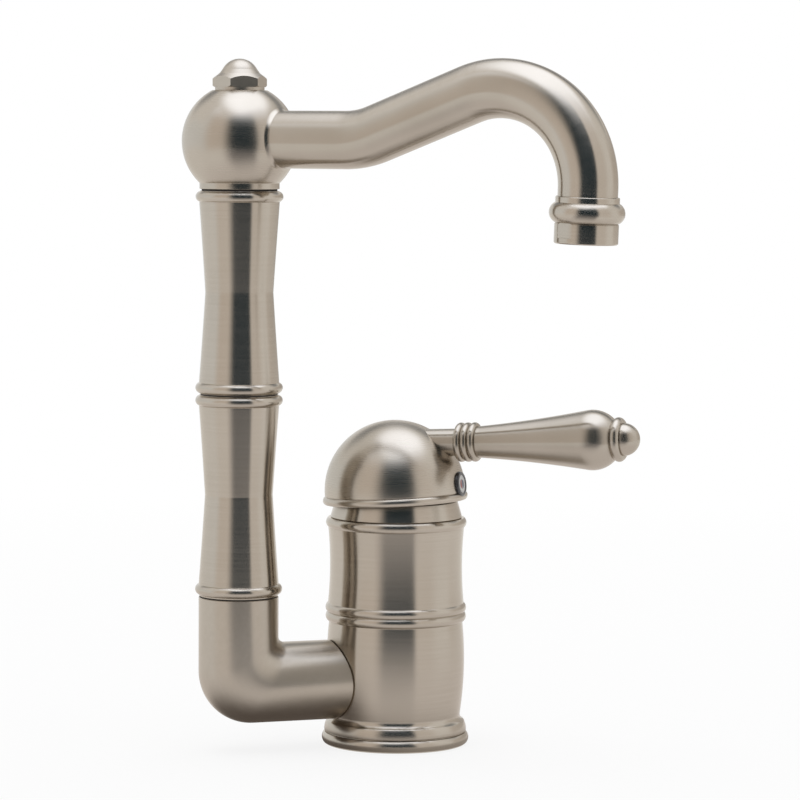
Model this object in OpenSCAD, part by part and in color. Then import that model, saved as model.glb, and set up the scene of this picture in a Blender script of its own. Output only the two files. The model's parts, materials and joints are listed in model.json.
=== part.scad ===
// Bar faucet with a swan-neck spout on a turned column beside a single-lever barrel valve.
// The origin is the barrel's axis on the deck, +Z is up, and the column stands towards -X.

/* [Base] */
// Height of the foot ring on the deck
flange_h = 4.7; // [3.5:0.1:7]
// How far the foot ring stands out of the barrel's belly
flange_out = 1.85; // [1:0.05:4]
// How far the body's hub, which stands on the deck, stays inside the barrel's belly
hub_in = 6.15; // [5.2:0.05:8]
// Thickness of the gasket under the foot ring
gasket_h = 2; // [1:0.1:2.5]

/* [Barrel] */
// Largest radius of the barrel's belly
barrel_r = 26.15; // [25.5:0.05:30]
// How far the belly swells past its ends
belly_swell = 1.1; // [0.3:0.1:1.6]
// How deep the upper barrel draws in at its waist
waist_in = 0.7; // [0.2:0.1:1]
// How far the beads swell
bead_swell = 0.85; // [0.4:0.05:1.2]
// Height of the rounded shoulder above the foot ring
shoulder_h = 3.9; // [2.5:0.1:6]
// Height of the cove above the shoulder
cove_h = 3; // [2:0.1:5]
// Height of the belly
belly_h = 35.3; // [33:0.1:45]
// Height of each of the two middle beads
mid_bead_h = 3.5; // [2:0.1:5]
// Height of the upper barrel between the beads
waist_h = 28.8; // [24:0.1:40]
// Height of the top bead
top_bead_h = 3.7; // [2:0.1:5]
// Height of the spigot that carries the neck collar
spigot_h = 5.1; // [4.9:0.1:7]
// Height of the neck collar
neck_h = 6.8; // [6.5:0.1:9]
// How far the neck collar tapers in
neck_taper = 1.8; // [0.5:0.1:2]

/* [Water ways] */
// Radius of the threaded inlet ports
inlet_r = 4.6; // [4:0.1:5]
// Radius of the threaded hole for the fixing stud
stud_r = 3.4; // [3:0.1:4]
// Depth of the threaded ports
port_depth = 13; // [8:0.5:14]
// Radius of the inlet drillings
drill_r = 3.2; // [2.5:0.1:3.4]

/* [Cartridge] */
// How far the cartridge's shell stays inside the barrel's belly
cartridge_in = 8.65; // [8.2:0.05:9.1]
// Wall of the cartridge's shell
cartridge_wall = 2; // [1.5:0.1:2.2]
// Radius of the ceramic ports
port_r = 2.8; // [2:0.1:3]
// Thickness of the fixed disc
fixed_disc_h = 3.5; // [2.5:0.1:4]
// Thickness of the moving disc
moving_disc_h = 2.5; // [2:0.1:3]
// How far the moving disc and its carrier stay inside the cartridge's chamber
moving_disc_in = 4; // [3.5:0.1:4.5]
// How far the rotor's neck stays inside the cartridge's chamber
rotor_neck_in = 3.95; // [3.5:0.05:4.5]
// Radius of the pivot pin
pin_r = 1.5; // [1.2:0.1:1.8]
// How far each end of the pivot pin stays inside the rotor's neck
pin_in = 0.55; // [0.3:0.05:2]
// Side of the spindle's square stem
spindle_w = 7.8; // [7:0.1:8]
// Distance from the pivot down to the spindle's ball
ball_arm = 12.5; // [12:0.1:12.7]
// Radius of the spindle's ball
spindle_ball_r = 3; // [2.8:0.1:3.1]

/* [Lever] */
// Direction of the lever, from +X, in degrees
lever_az = -40; // [-90:1:0]
// Tilt of the dome when the valve is closed, in degrees
rest_tilt = 3; // [2:0.5:4]
// How far the dome's sphere stands out of the barrel's belly
dome_over = 0.6; // [0.4:0.05:1.2]
// Wall of the dome
dome_wall = 2.15; // [1.5:0.05:2.4]
// Height of the rim band round the dome's mouth
rim_h = 3; // [2.6:0.1:4]
// Height of the lever's axis above the dome's centre, as a share of the dome's radius
lever_rise = 0.667; // [0.6:0.001:0.68]
// Radius of the lever's stem
stem_r = 5.2; // [4.5:0.02:5.5]
// How far the stem stands out of the dome along its axis
stem_out = 6.5; // [4:0.1:9]
// Radius of the beaded collar
collar_r = 7.45; // [6.5:0.05:9]
// Height of each of the collar's three beads
collar_bead_h = 2.72; // [2:0.01:4]
// Radius of the grip at the collar
grip_neck_r = 6; // [5:0.1:7]
// Radius of the grip's round head
grip_head_r = 11.3; // [9.5:0.1:13]
// Distance from the collar to the middle of the grip's head
grip_head_at = 45.1; // [40:0.1:52]
// Length of the grip
grip_length = 53.7; // [51:0.1:56]
// Radius of the ring behind the knob
end_ring_r = 8.3; // [7.5:0.1:9.5]
// Height of the ring behind the knob
end_ring_h = 3.4; // [2.5:0.1:5]
// Radius of the knob
knob_r = 6.15; // [5:0.05:7]
// Radius of the rod through the handle
rod_r = 2.5; // [2:0.1:2.7]

/* [Index button] */
// Height of the button's middle above the dome's centre, as an angle in degrees
button_pitch = 4.3; // [2:0.1:8]
// Radius of the button's black rim
button_r = 4.8; // [4.4:0.1:5]
// Radius of the button's pale disc
button_disc_r = 3.4; // [3:0.1:3.7]
// Radius of the set screw
set_screw_r = 2.5; // [2:0.1:2.6]
// Length of the set screw
set_screw_length = 8; // [6:0.5:10]

/* [Arm and elbow] */
// Distance from the barrel's belly to the column's axis
column_out = 36.35; // [30:0.05:65]
// Height of the arm's axis above the deck
arm_z = 25.3; // [24:0.1:29]
// Radius of the arm and of the elbow
arm_r = 15; // [14:0.1:16]
// Radius of the elbow's bend along its middle
elbow_bend_r = 5; // [3:0.5:8]
// Height of the elbow's mouth above the arm's axis
elbow_leg_h = 33; // [30:0.5:45]
// Width of the seam between the arm and the barrel
seam = 0.45; // [0.2:0.05:1]
// Outer radius of the nipple between the barrel and the elbow
nipple_r = 9.5; // [8.5:0.1:10]
// Bore radius of the nipple
nipple_bore_r = 6.5; // [5:0.1:7]

/* [Column] */
// Height of each of the two column pieces
column_h = 75.5; // [60:0.5:110]
// Radius of the column beside its end beads
column_r = 15; // [14.6:0.1:16.5]
// How deep the column draws in at its waist
column_waist_in = 2.3; // [1:0.1:2.6]
// How far the end beads swell
end_bead_swell = 1.4; // [0.6:0.1:2]
// Height of each end bead
end_bead_h = 3.9; // [3:0.1:6]
// Bore radius of the column
column_bore_r = 10.3; // [9.5:0.1:10.6]
// Thickness of the washers in the column's joints
column_washer_h = 0.5; // [0.3:0.1:1]
// Outer radius of the threaded tubes in the column's joints
joiner_r = 11.5; // [11:0.1:12]
// Length of the threaded tubes in the column's joints
joiner_h = 17; // [12:0.5:24]

/* [Swivel] */
// Radius of the swivel ball
ball_r = 21.5; // [20.5:0.1:24]
// Height of the ball's centre above the column
ball_up = 18.4; // [17.5:0.1:19]
// Radius of the ball's neck
ball_neck_r = 14.9; // [13.5:0.1:15]
// Thickness of the swivel washer
swivel_washer_h = 0.7; // [0.4:0.1:1.2]
// Radius of the swivel post
post_r = 7; // [6.5:0.1:7.5]
// Radius of the post's threaded end
post_tip_r = 5; // [4:0.1:5.5]
// Thickness of the washer under the finial
finial_washer_h = 1.2; // [0.8:0.1:2]
// Radius of the washer under the finial
finial_washer_r = 9.2; // [8.5:0.1:10]
// Width of the finial across its corners
finial_w = 20.5; // [19:0.1:24]
// Height of the finial's hexagon
finial_hex_h = 3; // [2.5:0.1:5]
// Height of the finial's crown above its hexagon
finial_crown_h = 7.5; // [7:0.1:9]

/* [Spout] */
// Direction of the spout, from +X, in degrees
spout_az = -49.3; // [-120:0.1:60]
// Outer radius of the spout's tube
tube_r = 10.67; // [9.5:0.01:12]
// Wall of the spout's tube
tube_wall = 1.2; // [0.8:0.1:1.6]
// Height of the tube's axis above the ball's centre
tube_up = 0.75; // [0:0.05:1.5]
// Straight run of the tube out from the column's axis
run_out = 46; // [42:0.5:60]
// Rise of the neck, in degrees
rise = 20.4; // [10:0.1:30]
// Radius of the bend up
rise_r = 39; // [30:0.5:50]
// Straight run up the neck
run_up = 40.5; // [30:0.5:70]
// Radius of the bend over the crest
crest_r = 36.7; // [30:0.1:45]
// Angle of the bend over the crest, in degrees
crest_turn = 42; // [20:1:60]
// Radius of the bend down to the nozzle
nose_r = 34.1; // [28:0.1:42]
// Direction in which the nozzle points below the horizontal, in degrees
nose_down = 92; // [70:1:100]

/* [Nozzle] */
// Straight tube above the nozzle's collar
nozzle_gap = 2.6; // [1:0.1:6]
// Radius of the collar's step and of the outlet
nozzle_r = 11.4; // [11.3:0.1:13]
// Height of the collar's step
nozzle_step_h = 2.1; // [1:0.1:3]
// Height of the collar's bead
nozzle_bead_h = 7.2; // [6:0.1:9]
// How far the collar's bead swells
nozzle_bead_swell = 2.1; // [1:0.1:3]
// Height of the outlet below the collar
outlet_h = 7.4; // [6.5:0.1:12]
// Depth of the two flats on the outlet
flat_in = 0.5; // [0.2:0.05:0.8]
// Height of the two flats on the outlet
flat_h = 5.3; // [3:0.1:6]

/* [Hidden] */
$fn = 96;

// Clearances: a thread or press seat, a running fit, and free air between moving parts
seat = 0.05;
running = 0.05;
air = 0.3;
// Depth and half width of the shadow groove between two stacked pieces
groove_in = 0.85;
groove_half = 0.3;
cut = 1;
// A straight tube laps this far into a bend, and the bend is a hair slimmer
bend_lap = 0.5;
bend_slim = 0.03;

// Heights up the barrel
shoulder_top = flange_h + shoulder_h;
belly_z = shoulder_top + cove_h;
belly_top = belly_z + belly_h;
mid_beads_top = belly_top + 2 * mid_bead_h;
waist_top = mid_beads_top + waist_h;
body_h = waist_top + top_bead_h;
spigot_top = body_h + spigot_h;
neck_top = body_h + neck_h;

// Radii of the barrel
hub_r = barrel_r - hub_in;
foot_r = barrel_r + 0.9;
shoulder_end_r = barrel_r + 0.15;
belly_foot_r = barrel_r - 1.45;
belly_top_r = barrel_r - 0.75;
bead_foot_r = barrel_r - 0.3;
groove_r = foot_r - groove_in;
gasket_r_out = groove_r - 0.7;
gasket_r_in = hub_r + 2;

// Heights in the cartridge, from its floor in the body
pocket_h = 30.4;
pivot_up = 29;
shoulder_up = 28;
carrier_down = 10;
plate_h = 3.5;
plate_step_h = 2;
shell_neck_h = 2.8;
shell_roof_h = 2;
floor_z = body_h - pocket_h;
seal_h = 2;
base_z = floor_z + 0.5;
shell_z = base_z + plate_h;
fixed_disc_z = shell_z + plate_step_h;
moving_disc_z = fixed_disc_z + fixed_disc_h;
carrier_z = moving_disc_z + moving_disc_h;
pivot_z = floor_z + pivot_up;
carrier_top = pivot_z - carrier_down;
shell_shoulder_z = floor_z + shoulder_up;
shell_top = shell_shoulder_z + shell_neck_h;
shell_roof_z = shell_shoulder_z - shell_roof_h;
rotor_z = carrier_top + 1;
rotor_top = pivot_z + 2;
rotor_flange_top = shell_roof_z - air;
nut_h = 6;

// Radii in the cartridge
cartridge_r = barrel_r - cartridge_in;
cartridge_bore_r = cartridge_r + seat;
chamber_r = cartridge_r - cartridge_wall;
moving_disc_r = chamber_r - moving_disc_in;
rotor_neck_r = chamber_r - rotor_neck_in;
pin_length = 2 * (rotor_neck_r - pin_in);
shell_neck_r = rotor_neck_r + 2.25;
rotor_r = chamber_r - air;
nut_r = cartridge_r + 1.95;
nut_key_w = 2 * nut_r - 5.9;
nut_bore_r = nut_r + seat;
spigot_r = nut_bore_r + 2.45;
neck_bore_r = spigot_r + seat;
neck_ring_h = 2;
neck_ring_z = body_h + 1.6;
neck_ring_in = 1.35;

// Places of the two inlets and the outlet under the cartridge, along and across the lever,
// as shares of the cartridge's radius
inlet_u = cartridge_r * 9 / 35;
inlet_v = cartridge_r * 13.6 / 35;
outlet_u = -cartridge_r * 15 / 35;
port_seal_r = cartridge_r * 10.6 / 35;
base_pin_u = -cartridge_r * 4 / 35;
base_pin_v = cartridge_r * 26 / 35;
base_pin_r = 1.5;
base_pin_h = 3;
outlet_drill_r = 4;
side_passage_r = 5.5;
side_passage_end = 6.5;
stud_x = -6.5;
stud_y = 7.5;

// The disc slides under the spindle's ball
spindle_ball_u = ball_arm * sin(rest_tilt);
disc_rest_u = -1.6;
socket_u = spindle_ball_u - disc_rest_u;
socket_r = spindle_ball_r + 0.1;
socket_floor_z = pivot_z - ball_arm - spindle_ball_r - air;
disc_recess_r = moving_disc_r - 4.3;
disc_recess_u = -3.2;
disc_recess_h = 1.2;
slot_w = spindle_w + 0.2;
slot_length = 1.264 * rotor_neck_r;
finger_r = spindle_ball_r - 0.8;

// The dome, from the pivot
dome_r = barrel_r + dome_over;
dome_z = 11.6;
lever_up = lever_rise * dome_r;
lever_z = dome_z + lever_up;
rim_z = dome_z - 1.2 - rim_h;
crease_z = rim_z + rim_h;
lip_r = dome_r - 0.55;
rim_r = dome_r + 0.05;
rim_swell = 0.7;
dome_inner_r = dome_r - dome_wall;
lip_h = 1.4;
boss_r = 8;
boss_z = rim_z - 0.9;
spindle_top = lever_z - 6;
stem_boss_r = stem_r + 2.3;
stem_end = sqrt(dome_r * dome_r - lever_up * lever_up) + stem_out;
spigot_in = sqrt(pow(dome_r, 2) - pow(lever_up + stem_r, 2)) - 1;
stem_spigot_r = 3.5;
stem_spigot_u = spigot_in - 3.5;
screw_boss_r = set_screw_r + 2.5;

// The button, along its own axis from the dome's centre
button_seat = dome_r - 0.55;
button_h = 1.35;
button_recess = 0.65;
button_disc_h = 0.4;
plug_r = set_screw_r + 0.7;
plug_h = 4;
screw_tip = spindle_w / 2 + 0.25;
mark_r = 1.8;
mark_gap = 0.5;
mark_h = 0.3;

// The handle, along the lever's axis
handle_collar_h = 3 * collar_bead_h;
grip_at = stem_end + handle_collar_h;
end_ring_at = grip_at + grip_length;
knob_at = end_ring_at + end_ring_h;
rod_start = spigot_in + 2;
rod_end = knob_at + 2.1;
grip_ring_h = 1.2;
grip_blend = 9;

// The elbow and the column
column_at = barrel_r + column_out;
elbow_top = arm_z + elbow_leg_h;
leg_bore_r = 9.3;
arm_bore_r = nipple_r - 0.5;
nipple_in = barrel_r - 11.65;
nipple_out = barrel_r + 11.85;
o_ring_w = 1.2;
joiner_bore_r = 9.3;
joint_bore_r = joiner_r + seat;
lower_z = elbow_top + column_washer_h;
lower_top = lower_z + column_h;
upper_z = lower_top + column_washer_h;
column_top = upper_z + column_h;
washer_r = column_r - 0.6;
bead_inset = 0.15;

// The swivel ball and its post
ball_z = column_top + ball_up;
ball_foot_z = column_top + swivel_washer_h;
ball_bore_r = post_r + 0.04;
ball_face_z = ball_z + 18.9;
chamber_low = ball_z - 9.2;
chamber_high = ball_z + 9.3;
ball_chamber_r = 12;
shoulder_z = ball_face_z + finial_washer_h;
tail_h = 12;
tail_r = column_bore_r - seat;
post_bore_r = 4;
post_port_r = 2.4;
post_ring_w = 1.4;
post_ring_low = ball_foot_z + 4.4;
post_ring_high = ball_face_z - 5.3;
tip_h = 7.2;
finial_az = -6.4;
finial_top = shoulder_z + finial_hex_h;

// The spout's tube, in its own plane: distance from the column's axis, and height
tube_z = ball_z + tube_up;
tube_start = 12.6;
socket_bore_r = tube_r + seat;
rise_end = [run_out + rise_r * sin(rise), tube_z + rise_r * (1 - cos(rise))];
crest_start = rise_end + run_up * [cos(rise), sin(rise)];
crest_centre = crest_start + crest_r * [sin(rise), -cos(rise)];
nose_start_dir = crest_turn - rise;
nose_start = crest_centre + crest_r * [sin(nose_start_dir), cos(nose_start_dir)];
nose_centre = nose_start - nose_r * [sin(nose_start_dir), cos(nose_start_dir)];
nose_end = nose_centre + nose_r * [sin(nose_down), cos(nose_down)];

// The nozzle, along its own axis from the end of the bend
step_at = nozzle_gap;
bead_at = step_at + nozzle_step_h;
outlet_at = bead_at + nozzle_bead_h;
outlet_end = outlet_at + outlet_h;
tube_end = nozzle_gap + 3.4;
nozzle_washer_h = 1.2;
nozzle_thread_r = tube_r - 1.07;
thread_at = tube_end + nozzle_washer_h;
aerator_r = nozzle_thread_r - 1.1;
outlet_lip_h = 0.8;
screen_h = 0.7;
flat_az = -73;

nickel = "#b3a898";
brass = "#c3a35c";
black = "#26262a";
acetal = "#e4e1d8";
ceramic = "#f2f0ec";

// Points of an arc from p to q that swells by s to the right of the way up
function bow(p, q, s, n = 14) =
    let (d = q - p, c = norm(d), r = (c * c / 4 + s * s) / (2 * abs(s)), along = d / c,
        out = [along[1], -along[0]] * sign(s), o = (p + q) / 2 - out * (r - abs(s)),
        half = asin(c / 2 / r))
    [for (i = [0:n]) let (a = -half + 2 * half * i / n)
        o + r * (out * cos(a) + along * sin(a))];

// A turned solid from its outline as radius and height
module lathe(points) {
    rotate_extrude() polygon(points);
}

// A plain ring
module ring(r_out, r_in, z0, z1) {
    translate([0, 0, z0]) difference() {
        cylinder(r = r_out, h = z1 - z0);
        translate([0, 0, -cut]) cylinder(r = r_in, h = z1 - z0 + 2 * cut);
    }
}

// A drilling along +Z
module drill(r, z0, z1) {
    translate([0, 0, z0]) cylinder(r = r, h = z1 - z0);
}

// A round seal of section radius w / 2 that lies in a groove of radius r
module o_ring(r, w, z) {
    translate([0, 0, z]) rotate_extrude() translate([r + w / 2, 0]) circle(r = w / 2, $fn = 32);
}

// Places children with +X along the lever, level, at the deck
module along_lever() {
    rotate([0, 0, lever_az]) children();
}

// Places children in the dome's own frame: origin at the pivot, +X along the lever
module in_dome() {
    translate([0, 0, pivot_z]) rotate([0, -rest_tilt, lever_az]) children();
}

// Places children on the lever's axis, +Z out along it
module on_lever() {
    in_dome() translate([0, 0, lever_z]) rotate([0, 90, 0]) children();
}

// Places children on the button's axis, +Z out of the dome
module on_button() {
    in_dome() translate([0, 0, dome_z]) rotate([0, 90 - button_pitch, 0]) children();
}

// Places children on the arm's axis, +Z towards the column
module on_arm() {
    translate([0, 0, arm_z]) rotate([0, -90, 0]) children();
}

// Places children on the column's axis
module on_column() {
    translate([-column_at, 0, 0]) children();
}

// Places children in the spout's plane: +X outward, +Z up, origin on the column's axis
module in_spout() {
    on_column() rotate([0, 0, spout_az]) children();
}

// Places children on the nozzle's axis, +Z the way the water leaves
module on_nozzle() {
    in_spout() translate([nose_end[0], 0, nose_end[1]]) rotate([0, 90 + nose_down, 0]) children();
}

// The two inlets under the cartridge
module at_inlets() {
    for (side = [-1, 1]) along_lever() translate([inlet_u, side * inlet_v, 0]) children();
}

module at_ports() {
    at_inlets() children();
    along_lever() translate([outlet_u, 0, 0]) children();
}

module at_base_pins() {
    for (side = [-1, 1]) along_lever() translate([base_pin_u, side * base_pin_v, 0]) children();
}

// Outline of the barrel from its foot to its top bead, grown by the given amount
function barrel_outline(grow = 0) = [
    for (p = concat([[groove_r, flange_h], [groove_r, flange_h + groove_half]],
        bow([foot_r, flange_h + groove_half], [shoulder_end_r, shoulder_top], 0.25, 8),
        bow([shoulder_end_r - 0.3, shoulder_top + 0.3], [belly_foot_r, belly_z], -0.5, 8),
        bow([belly_foot_r, belly_z], [belly_top_r, belly_top], belly_swell, 28),
        bow([bead_foot_r - 0.1, belly_top], [bead_foot_r + 0.2, belly_top + mid_bead_h],
            bead_swell),
        bow([bead_foot_r + 0.2, belly_top + mid_bead_h], [bead_foot_r, mid_beads_top],
            bead_swell),
        bow([bead_foot_r, mid_beads_top + 0.1], [bead_foot_r, waist_top], -waist_in, 24),
        bow([bead_foot_r, waist_top + 0.05], [bead_foot_r, body_h], bead_swell + 0.05)))
    p + [grow, 0]];

module base_gasket() {
    color(black) ring(gasket_r_out, gasket_r_in, 0, gasket_h);
}

module base_flange() {
    foot_in_r = barrel_r + 0.65;
    rim_top = flange_h - groove_half;
    color(nickel) difference() {
        lathe(concat([[hub_r + 0.2, 0]],
            bow([foot_in_r, 0], [foot_in_r + 0.2, rim_top], flange_out - 0.75, 18),
            [[groove_r, rim_top], [groove_r, flange_h], [hub_r + 0.2, flange_h]]));
        ring(gasket_r_out + 0.1, gasket_r_in - 0.1, -cut, gasket_h);
    }
}

module valve_body() {
    ring_groove_r = spigot_r - neck_ring_in;
    color(nickel) difference() {
        lathe(concat([[0, 0], [hub_r, 0], [hub_r, flange_h]], barrel_outline(),
            [[spigot_r, body_h], [spigot_r, neck_ring_z], [ring_groove_r, neck_ring_z],
            [ring_groove_r, neck_ring_z + neck_ring_h], [spigot_r, neck_ring_z + neck_ring_h],
            [spigot_r, spigot_top], [0, spigot_top]]));
        drill(cartridge_bore_r, floor_z, spigot_top + cut);
        drill(nut_bore_r, shell_roof_z, spigot_top + cut);
        at_inlets() drill(drill_r, port_depth - cut, floor_z + cut);
        at_inlets() drill(inlet_r, -cut, port_depth);
        at_base_pins() drill(base_pin_r + seat, floor_z - base_pin_h, floor_z + cut);
        along_lever() translate([outlet_u, 0, 0]) drill(outlet_drill_r, arm_z - 4, floor_z + cut);
        translate([stud_x, stud_y, 0]) drill(stud_r, -cut, port_depth);
        on_arm() drill(side_passage_r, side_passage_end, barrel_r);
        on_arm() drill(nipple_r + seat, nipple_in - 0.5, barrel_r + 2);
    }
}

module neck_collar() {
    foot = barrel_r - 1.1;
    top = foot - neck_taper;
    lip_in_r = nut_r + 0.55;
    color(nickel) lathe(concat([[neck_bore_r, body_h], [foot - 0.4, body_h],
        [foot, body_h + 0.35]], bow([top + 0.1, neck_top - 0.7], [top - 0.6, neck_top], 0.2, 6),
        [[lip_in_r, neck_top], [lip_in_r, spigot_top], [neck_bore_r, spigot_top]]));
}

module neck_o_ring() {
    color(black) o_ring(spigot_r - neck_ring_in, neck_ring_in, neck_ring_z + neck_ring_h / 2);
}

module cartridge_nut() {
    color(brass) difference() {
        translate([0, 0, shell_shoulder_z]) cylinder(r = nut_r, h = nut_h);
        drill(shell_neck_r + 0.2, shell_shoulder_z - cut, shell_shoulder_z + nut_h + cut);
        translate([0, 0, shell_top + 0.2]) cylinder(d = nut_key_w, h = nut_h, $fn = 6);
    }
}

module cartridge_shell() {
    color(acetal) difference() {
        union() {
            drill(cartridge_r, shell_z, shell_shoulder_z);
            drill(shell_neck_r, shell_z, shell_top);
        }
        drill(chamber_r, shell_z - cut, shell_roof_z);
        drill(rotor_neck_r + running, shell_z, shell_top + cut);
    }
}

module cartridge_base() {
    color(acetal) difference() {
        union() {
            drill(cartridge_r, base_z, shell_z);
            drill(chamber_r - 0.1, base_z, fixed_disc_z);
            at_base_pins() drill(base_pin_r, floor_z - base_pin_h + 0.2, base_z + cut);
        }
        at_ports() drill(drill_r, base_z - cut, fixed_disc_z + cut);
        at_ports() drill(port_seal_r + seat, base_z - cut, floor_z + seal_h);
    }
}

module cartridge_seals() {
    color(black) at_ports() ring(port_seal_r, drill_r + 0.1, floor_z, floor_z + seal_h);
}

module fixed_disc() {
    color(ceramic) difference() {
        drill(chamber_r - 0.2, fixed_disc_z, moving_disc_z);
        at_ports() drill(port_r, fixed_disc_z - cut, moving_disc_z + cut);
    }
}

module moving_disc() {
    color(ceramic) along_lever() translate([disc_rest_u, 0, 0]) difference() {
        drill(moving_disc_r, moving_disc_z, carrier_z);
        translate([disc_recess_u, 0, 0])
            drill(disc_recess_r, moving_disc_z - cut, moving_disc_z + disc_recess_h);
    }
}

module disc_carrier() {
    color("#7d8a96") along_lever() translate([disc_rest_u, 0, 0]) difference() {
        drill(moving_disc_r, carrier_z, carrier_top);
        translate([socket_u, 0, 0]) drill(socket_r, socket_floor_z, carrier_top + cut);
        translate([socket_u, 0, carrier_top - 0.6])
            cylinder(r1 = socket_r, r2 = socket_r + 0.8, h = 0.8);
    }
}

module cartridge_rotor() {
    color(acetal) along_lever() difference() {
        union() {
            drill(rotor_r, rotor_z, rotor_flange_top);
            drill(rotor_neck_r, rotor_z, rotor_top);
        }
        translate([-slot_length / 2, -slot_w / 2, rotor_z - cut])
            cube([slot_length, slot_w, rotor_top - rotor_z + 2 * cut]);
        translate([0, 0, pivot_z]) rotate([90, 0, 0]) drill(pin_r + 0.02, -rotor_r, rotor_r);
    }
}

module pivot_pin() {
    color("#c8c8c8") along_lever() translate([0, 0, pivot_z]) rotate([90, 0, 0])
        drill(pin_r, -pin_length / 2, pin_length / 2);
}

module lever_spindle() {
    square_foot = -4;
    color(brass) in_dome() difference() {
        union() {
            translate([-spindle_w / 2, -spindle_w / 2, square_foot])
                cube([spindle_w, spindle_w, spindle_top - square_foot]);
            drill(finger_r, -ball_arm, 0);
            translate([0, 0, -ball_arm]) sphere(r = spindle_ball_r);
        }
        rotate([90, 0, 0]) drill(pin_r + running, -spindle_w, spindle_w);
    }
}

// The dome's outer surface as a solid
module dome_solid() {
    lathe(concat([[0, rim_z], [rim_r - 0.1, rim_z]],
        bow([rim_r + 0.1, rim_z], [rim_r, crease_z - 0.2], rim_swell, 16),
        [[lip_r + 0.35, crease_z - 0.1], [lip_r + 0.35, crease_z + 0.1], [0, crease_z + 0.1]]));
    intersection() {
        translate([0, 0, dome_z]) sphere(r = dome_r, $fn = 160);
        drill(dome_r + cut, crease_z, dome_z + dome_r + cut);
    }
}

// The dome's hollow, with its wider mouth
module dome_hollow() {
    neck_z = rim_z + lip_h + lip_r - dome_inner_r;
    lathe([[0, rim_z - cut], [lip_r, rim_z - cut], [lip_r, rim_z + lip_h],
        [dome_inner_r, neck_z], [0, neck_z]]);
    intersection() {
        translate([0, 0, dome_z]) sphere(r = dome_inner_r, $fn = 160);
        drill(dome_r + cut, rim_z + lip_h, dome_z + dome_r);
    }
}

module lever_dome() {
    boss_top = dome_z + sqrt(pow(dome_r - 0.4, 2) - pow(boss_r, 2));
    color(nickel) in_dome() difference() {
        union() {
            difference() {
                dome_solid();
                dome_hollow();
            }
            drill(boss_r, boss_z, boss_top);
            intersection() {
                translate([0, 0, lever_z]) rotate([0, 90, 0]) drill(stem_boss_r, 0, dome_r);
                translate([0, 0, dome_z]) sphere(r = dome_r - 0.8);
            }
            translate([0, 0, dome_z]) rotate([0, 90 - button_pitch, 0])
                drill(screw_boss_r, 0, dome_r - 1.2);
        }
        socket_w = spindle_w + 2 * seat;
        translate([-socket_w / 2, -socket_w / 2, boss_z - cut])
            cube([socket_w, socket_w, spindle_top + 0.3 - boss_z + cut]);
        translate([0, 0, lever_z]) rotate([0, 90, 0]) {
            drill(stem_spigot_r + 0.02, stem_spigot_u - 0.5, dome_r);
            drill(stem_r + 0.02, spigot_in, dome_r + cut);
        }
        translate([0, 0, dome_z]) rotate([0, 90 - button_pitch, 0]) {
            drill(set_screw_r + seat, 0, dome_r);
            drill(plug_r + seat, button_seat - plug_h - 0.2, dome_r + cut);
            drill(button_r + 0.1, button_seat, dome_r + 2);
        }
    }
}

module set_screw() {
    key_depth = 3;
    key_w = 2.9;
    color("#6f6f74") on_button() difference() {
        drill(set_screw_r, screw_tip, screw_tip + set_screw_length);
        translate([0, 0, screw_tip + set_screw_length - key_depth])
            cylinder(d = key_w, h = key_depth + cut, $fn = 6);
    }
}

module index_plug() {
    color(black) on_button() difference() {
        union() {
            drill(plug_r, button_seat - plug_h, button_seat + cut / 2);
            lathe(concat([[0, button_seat], [button_r, button_seat]],
                bow([button_r, button_seat + 0.7], [button_r - 0.6, button_seat + button_h],
                0.15, 6), [[0, button_seat + button_h]]));
        }
        drill(button_disc_r + seat, button_seat + button_h - button_recess,
            button_seat + button_h + cut);
    }
}

disc_z = button_seat + button_h - button_recess;

// Half of a round mark, on the side given
module half_mark(side, r, z0, z1) {
    on_button() intersection() {
        drill(r, z0, z1);
        translate([-mark_r, side > 0 ? mark_gap / 2 - (r - mark_r) : -mark_r - cut, z0 - cut])
            cube([2 * mark_r, mark_r + cut - mark_gap / 2 + (r - mark_r), z1 - z0 + 2 * cut]);
    }
}

module index_disc() {
    pocket_r = mark_r + 0.02;
    pocket_z = disc_z + button_disc_h - mark_h;
    color(ceramic) difference() {
        on_button() drill(button_disc_r, disc_z, disc_z + button_disc_h);
        half_mark(-1, pocket_r, pocket_z, pocket_z + 1);
        half_mark(1, pocket_r, pocket_z, pocket_z + 1);
    }
}

module hot_mark() {
    mark_z = disc_z + button_disc_h - mark_h;
    color("#c42a1e") half_mark(-1, mark_r, mark_z, mark_z + mark_h + 0.05);
}

module cold_mark() {
    mark_z = disc_z + button_disc_h - mark_h;
    color("#2553b4") half_mark(1, mark_r, mark_z, mark_z + mark_h + 0.05);
}

module lever_stem() {
    color(nickel) on_lever() difference() {
        union() {
            drill(stem_spigot_r, stem_spigot_u, spigot_in + cut / 2);
            drill(stem_r, spigot_in, stem_end);
        }
        drill(rod_r + 0.02, rod_start, stem_end + cut);
    }
}

module handle_rod() {
    color(brass) on_lever() drill(rod_r, rod_start, rod_end);
}

module handle_collar() {
    neck_r = collar_r - 1.1;
    color(nickel) on_lever() difference() {
        for (i = [0:2]) let (z = stem_end + i * collar_bead_h)
            lathe(concat([[0, z]], bow([neck_r, z], [neck_r, z + collar_bead_h],
                collar_r - neck_r, 16), [[0, z + collar_bead_h]]));
        drill(rod_r + 0.02, stem_end - cut, grip_at + cut);
    }
}

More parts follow.
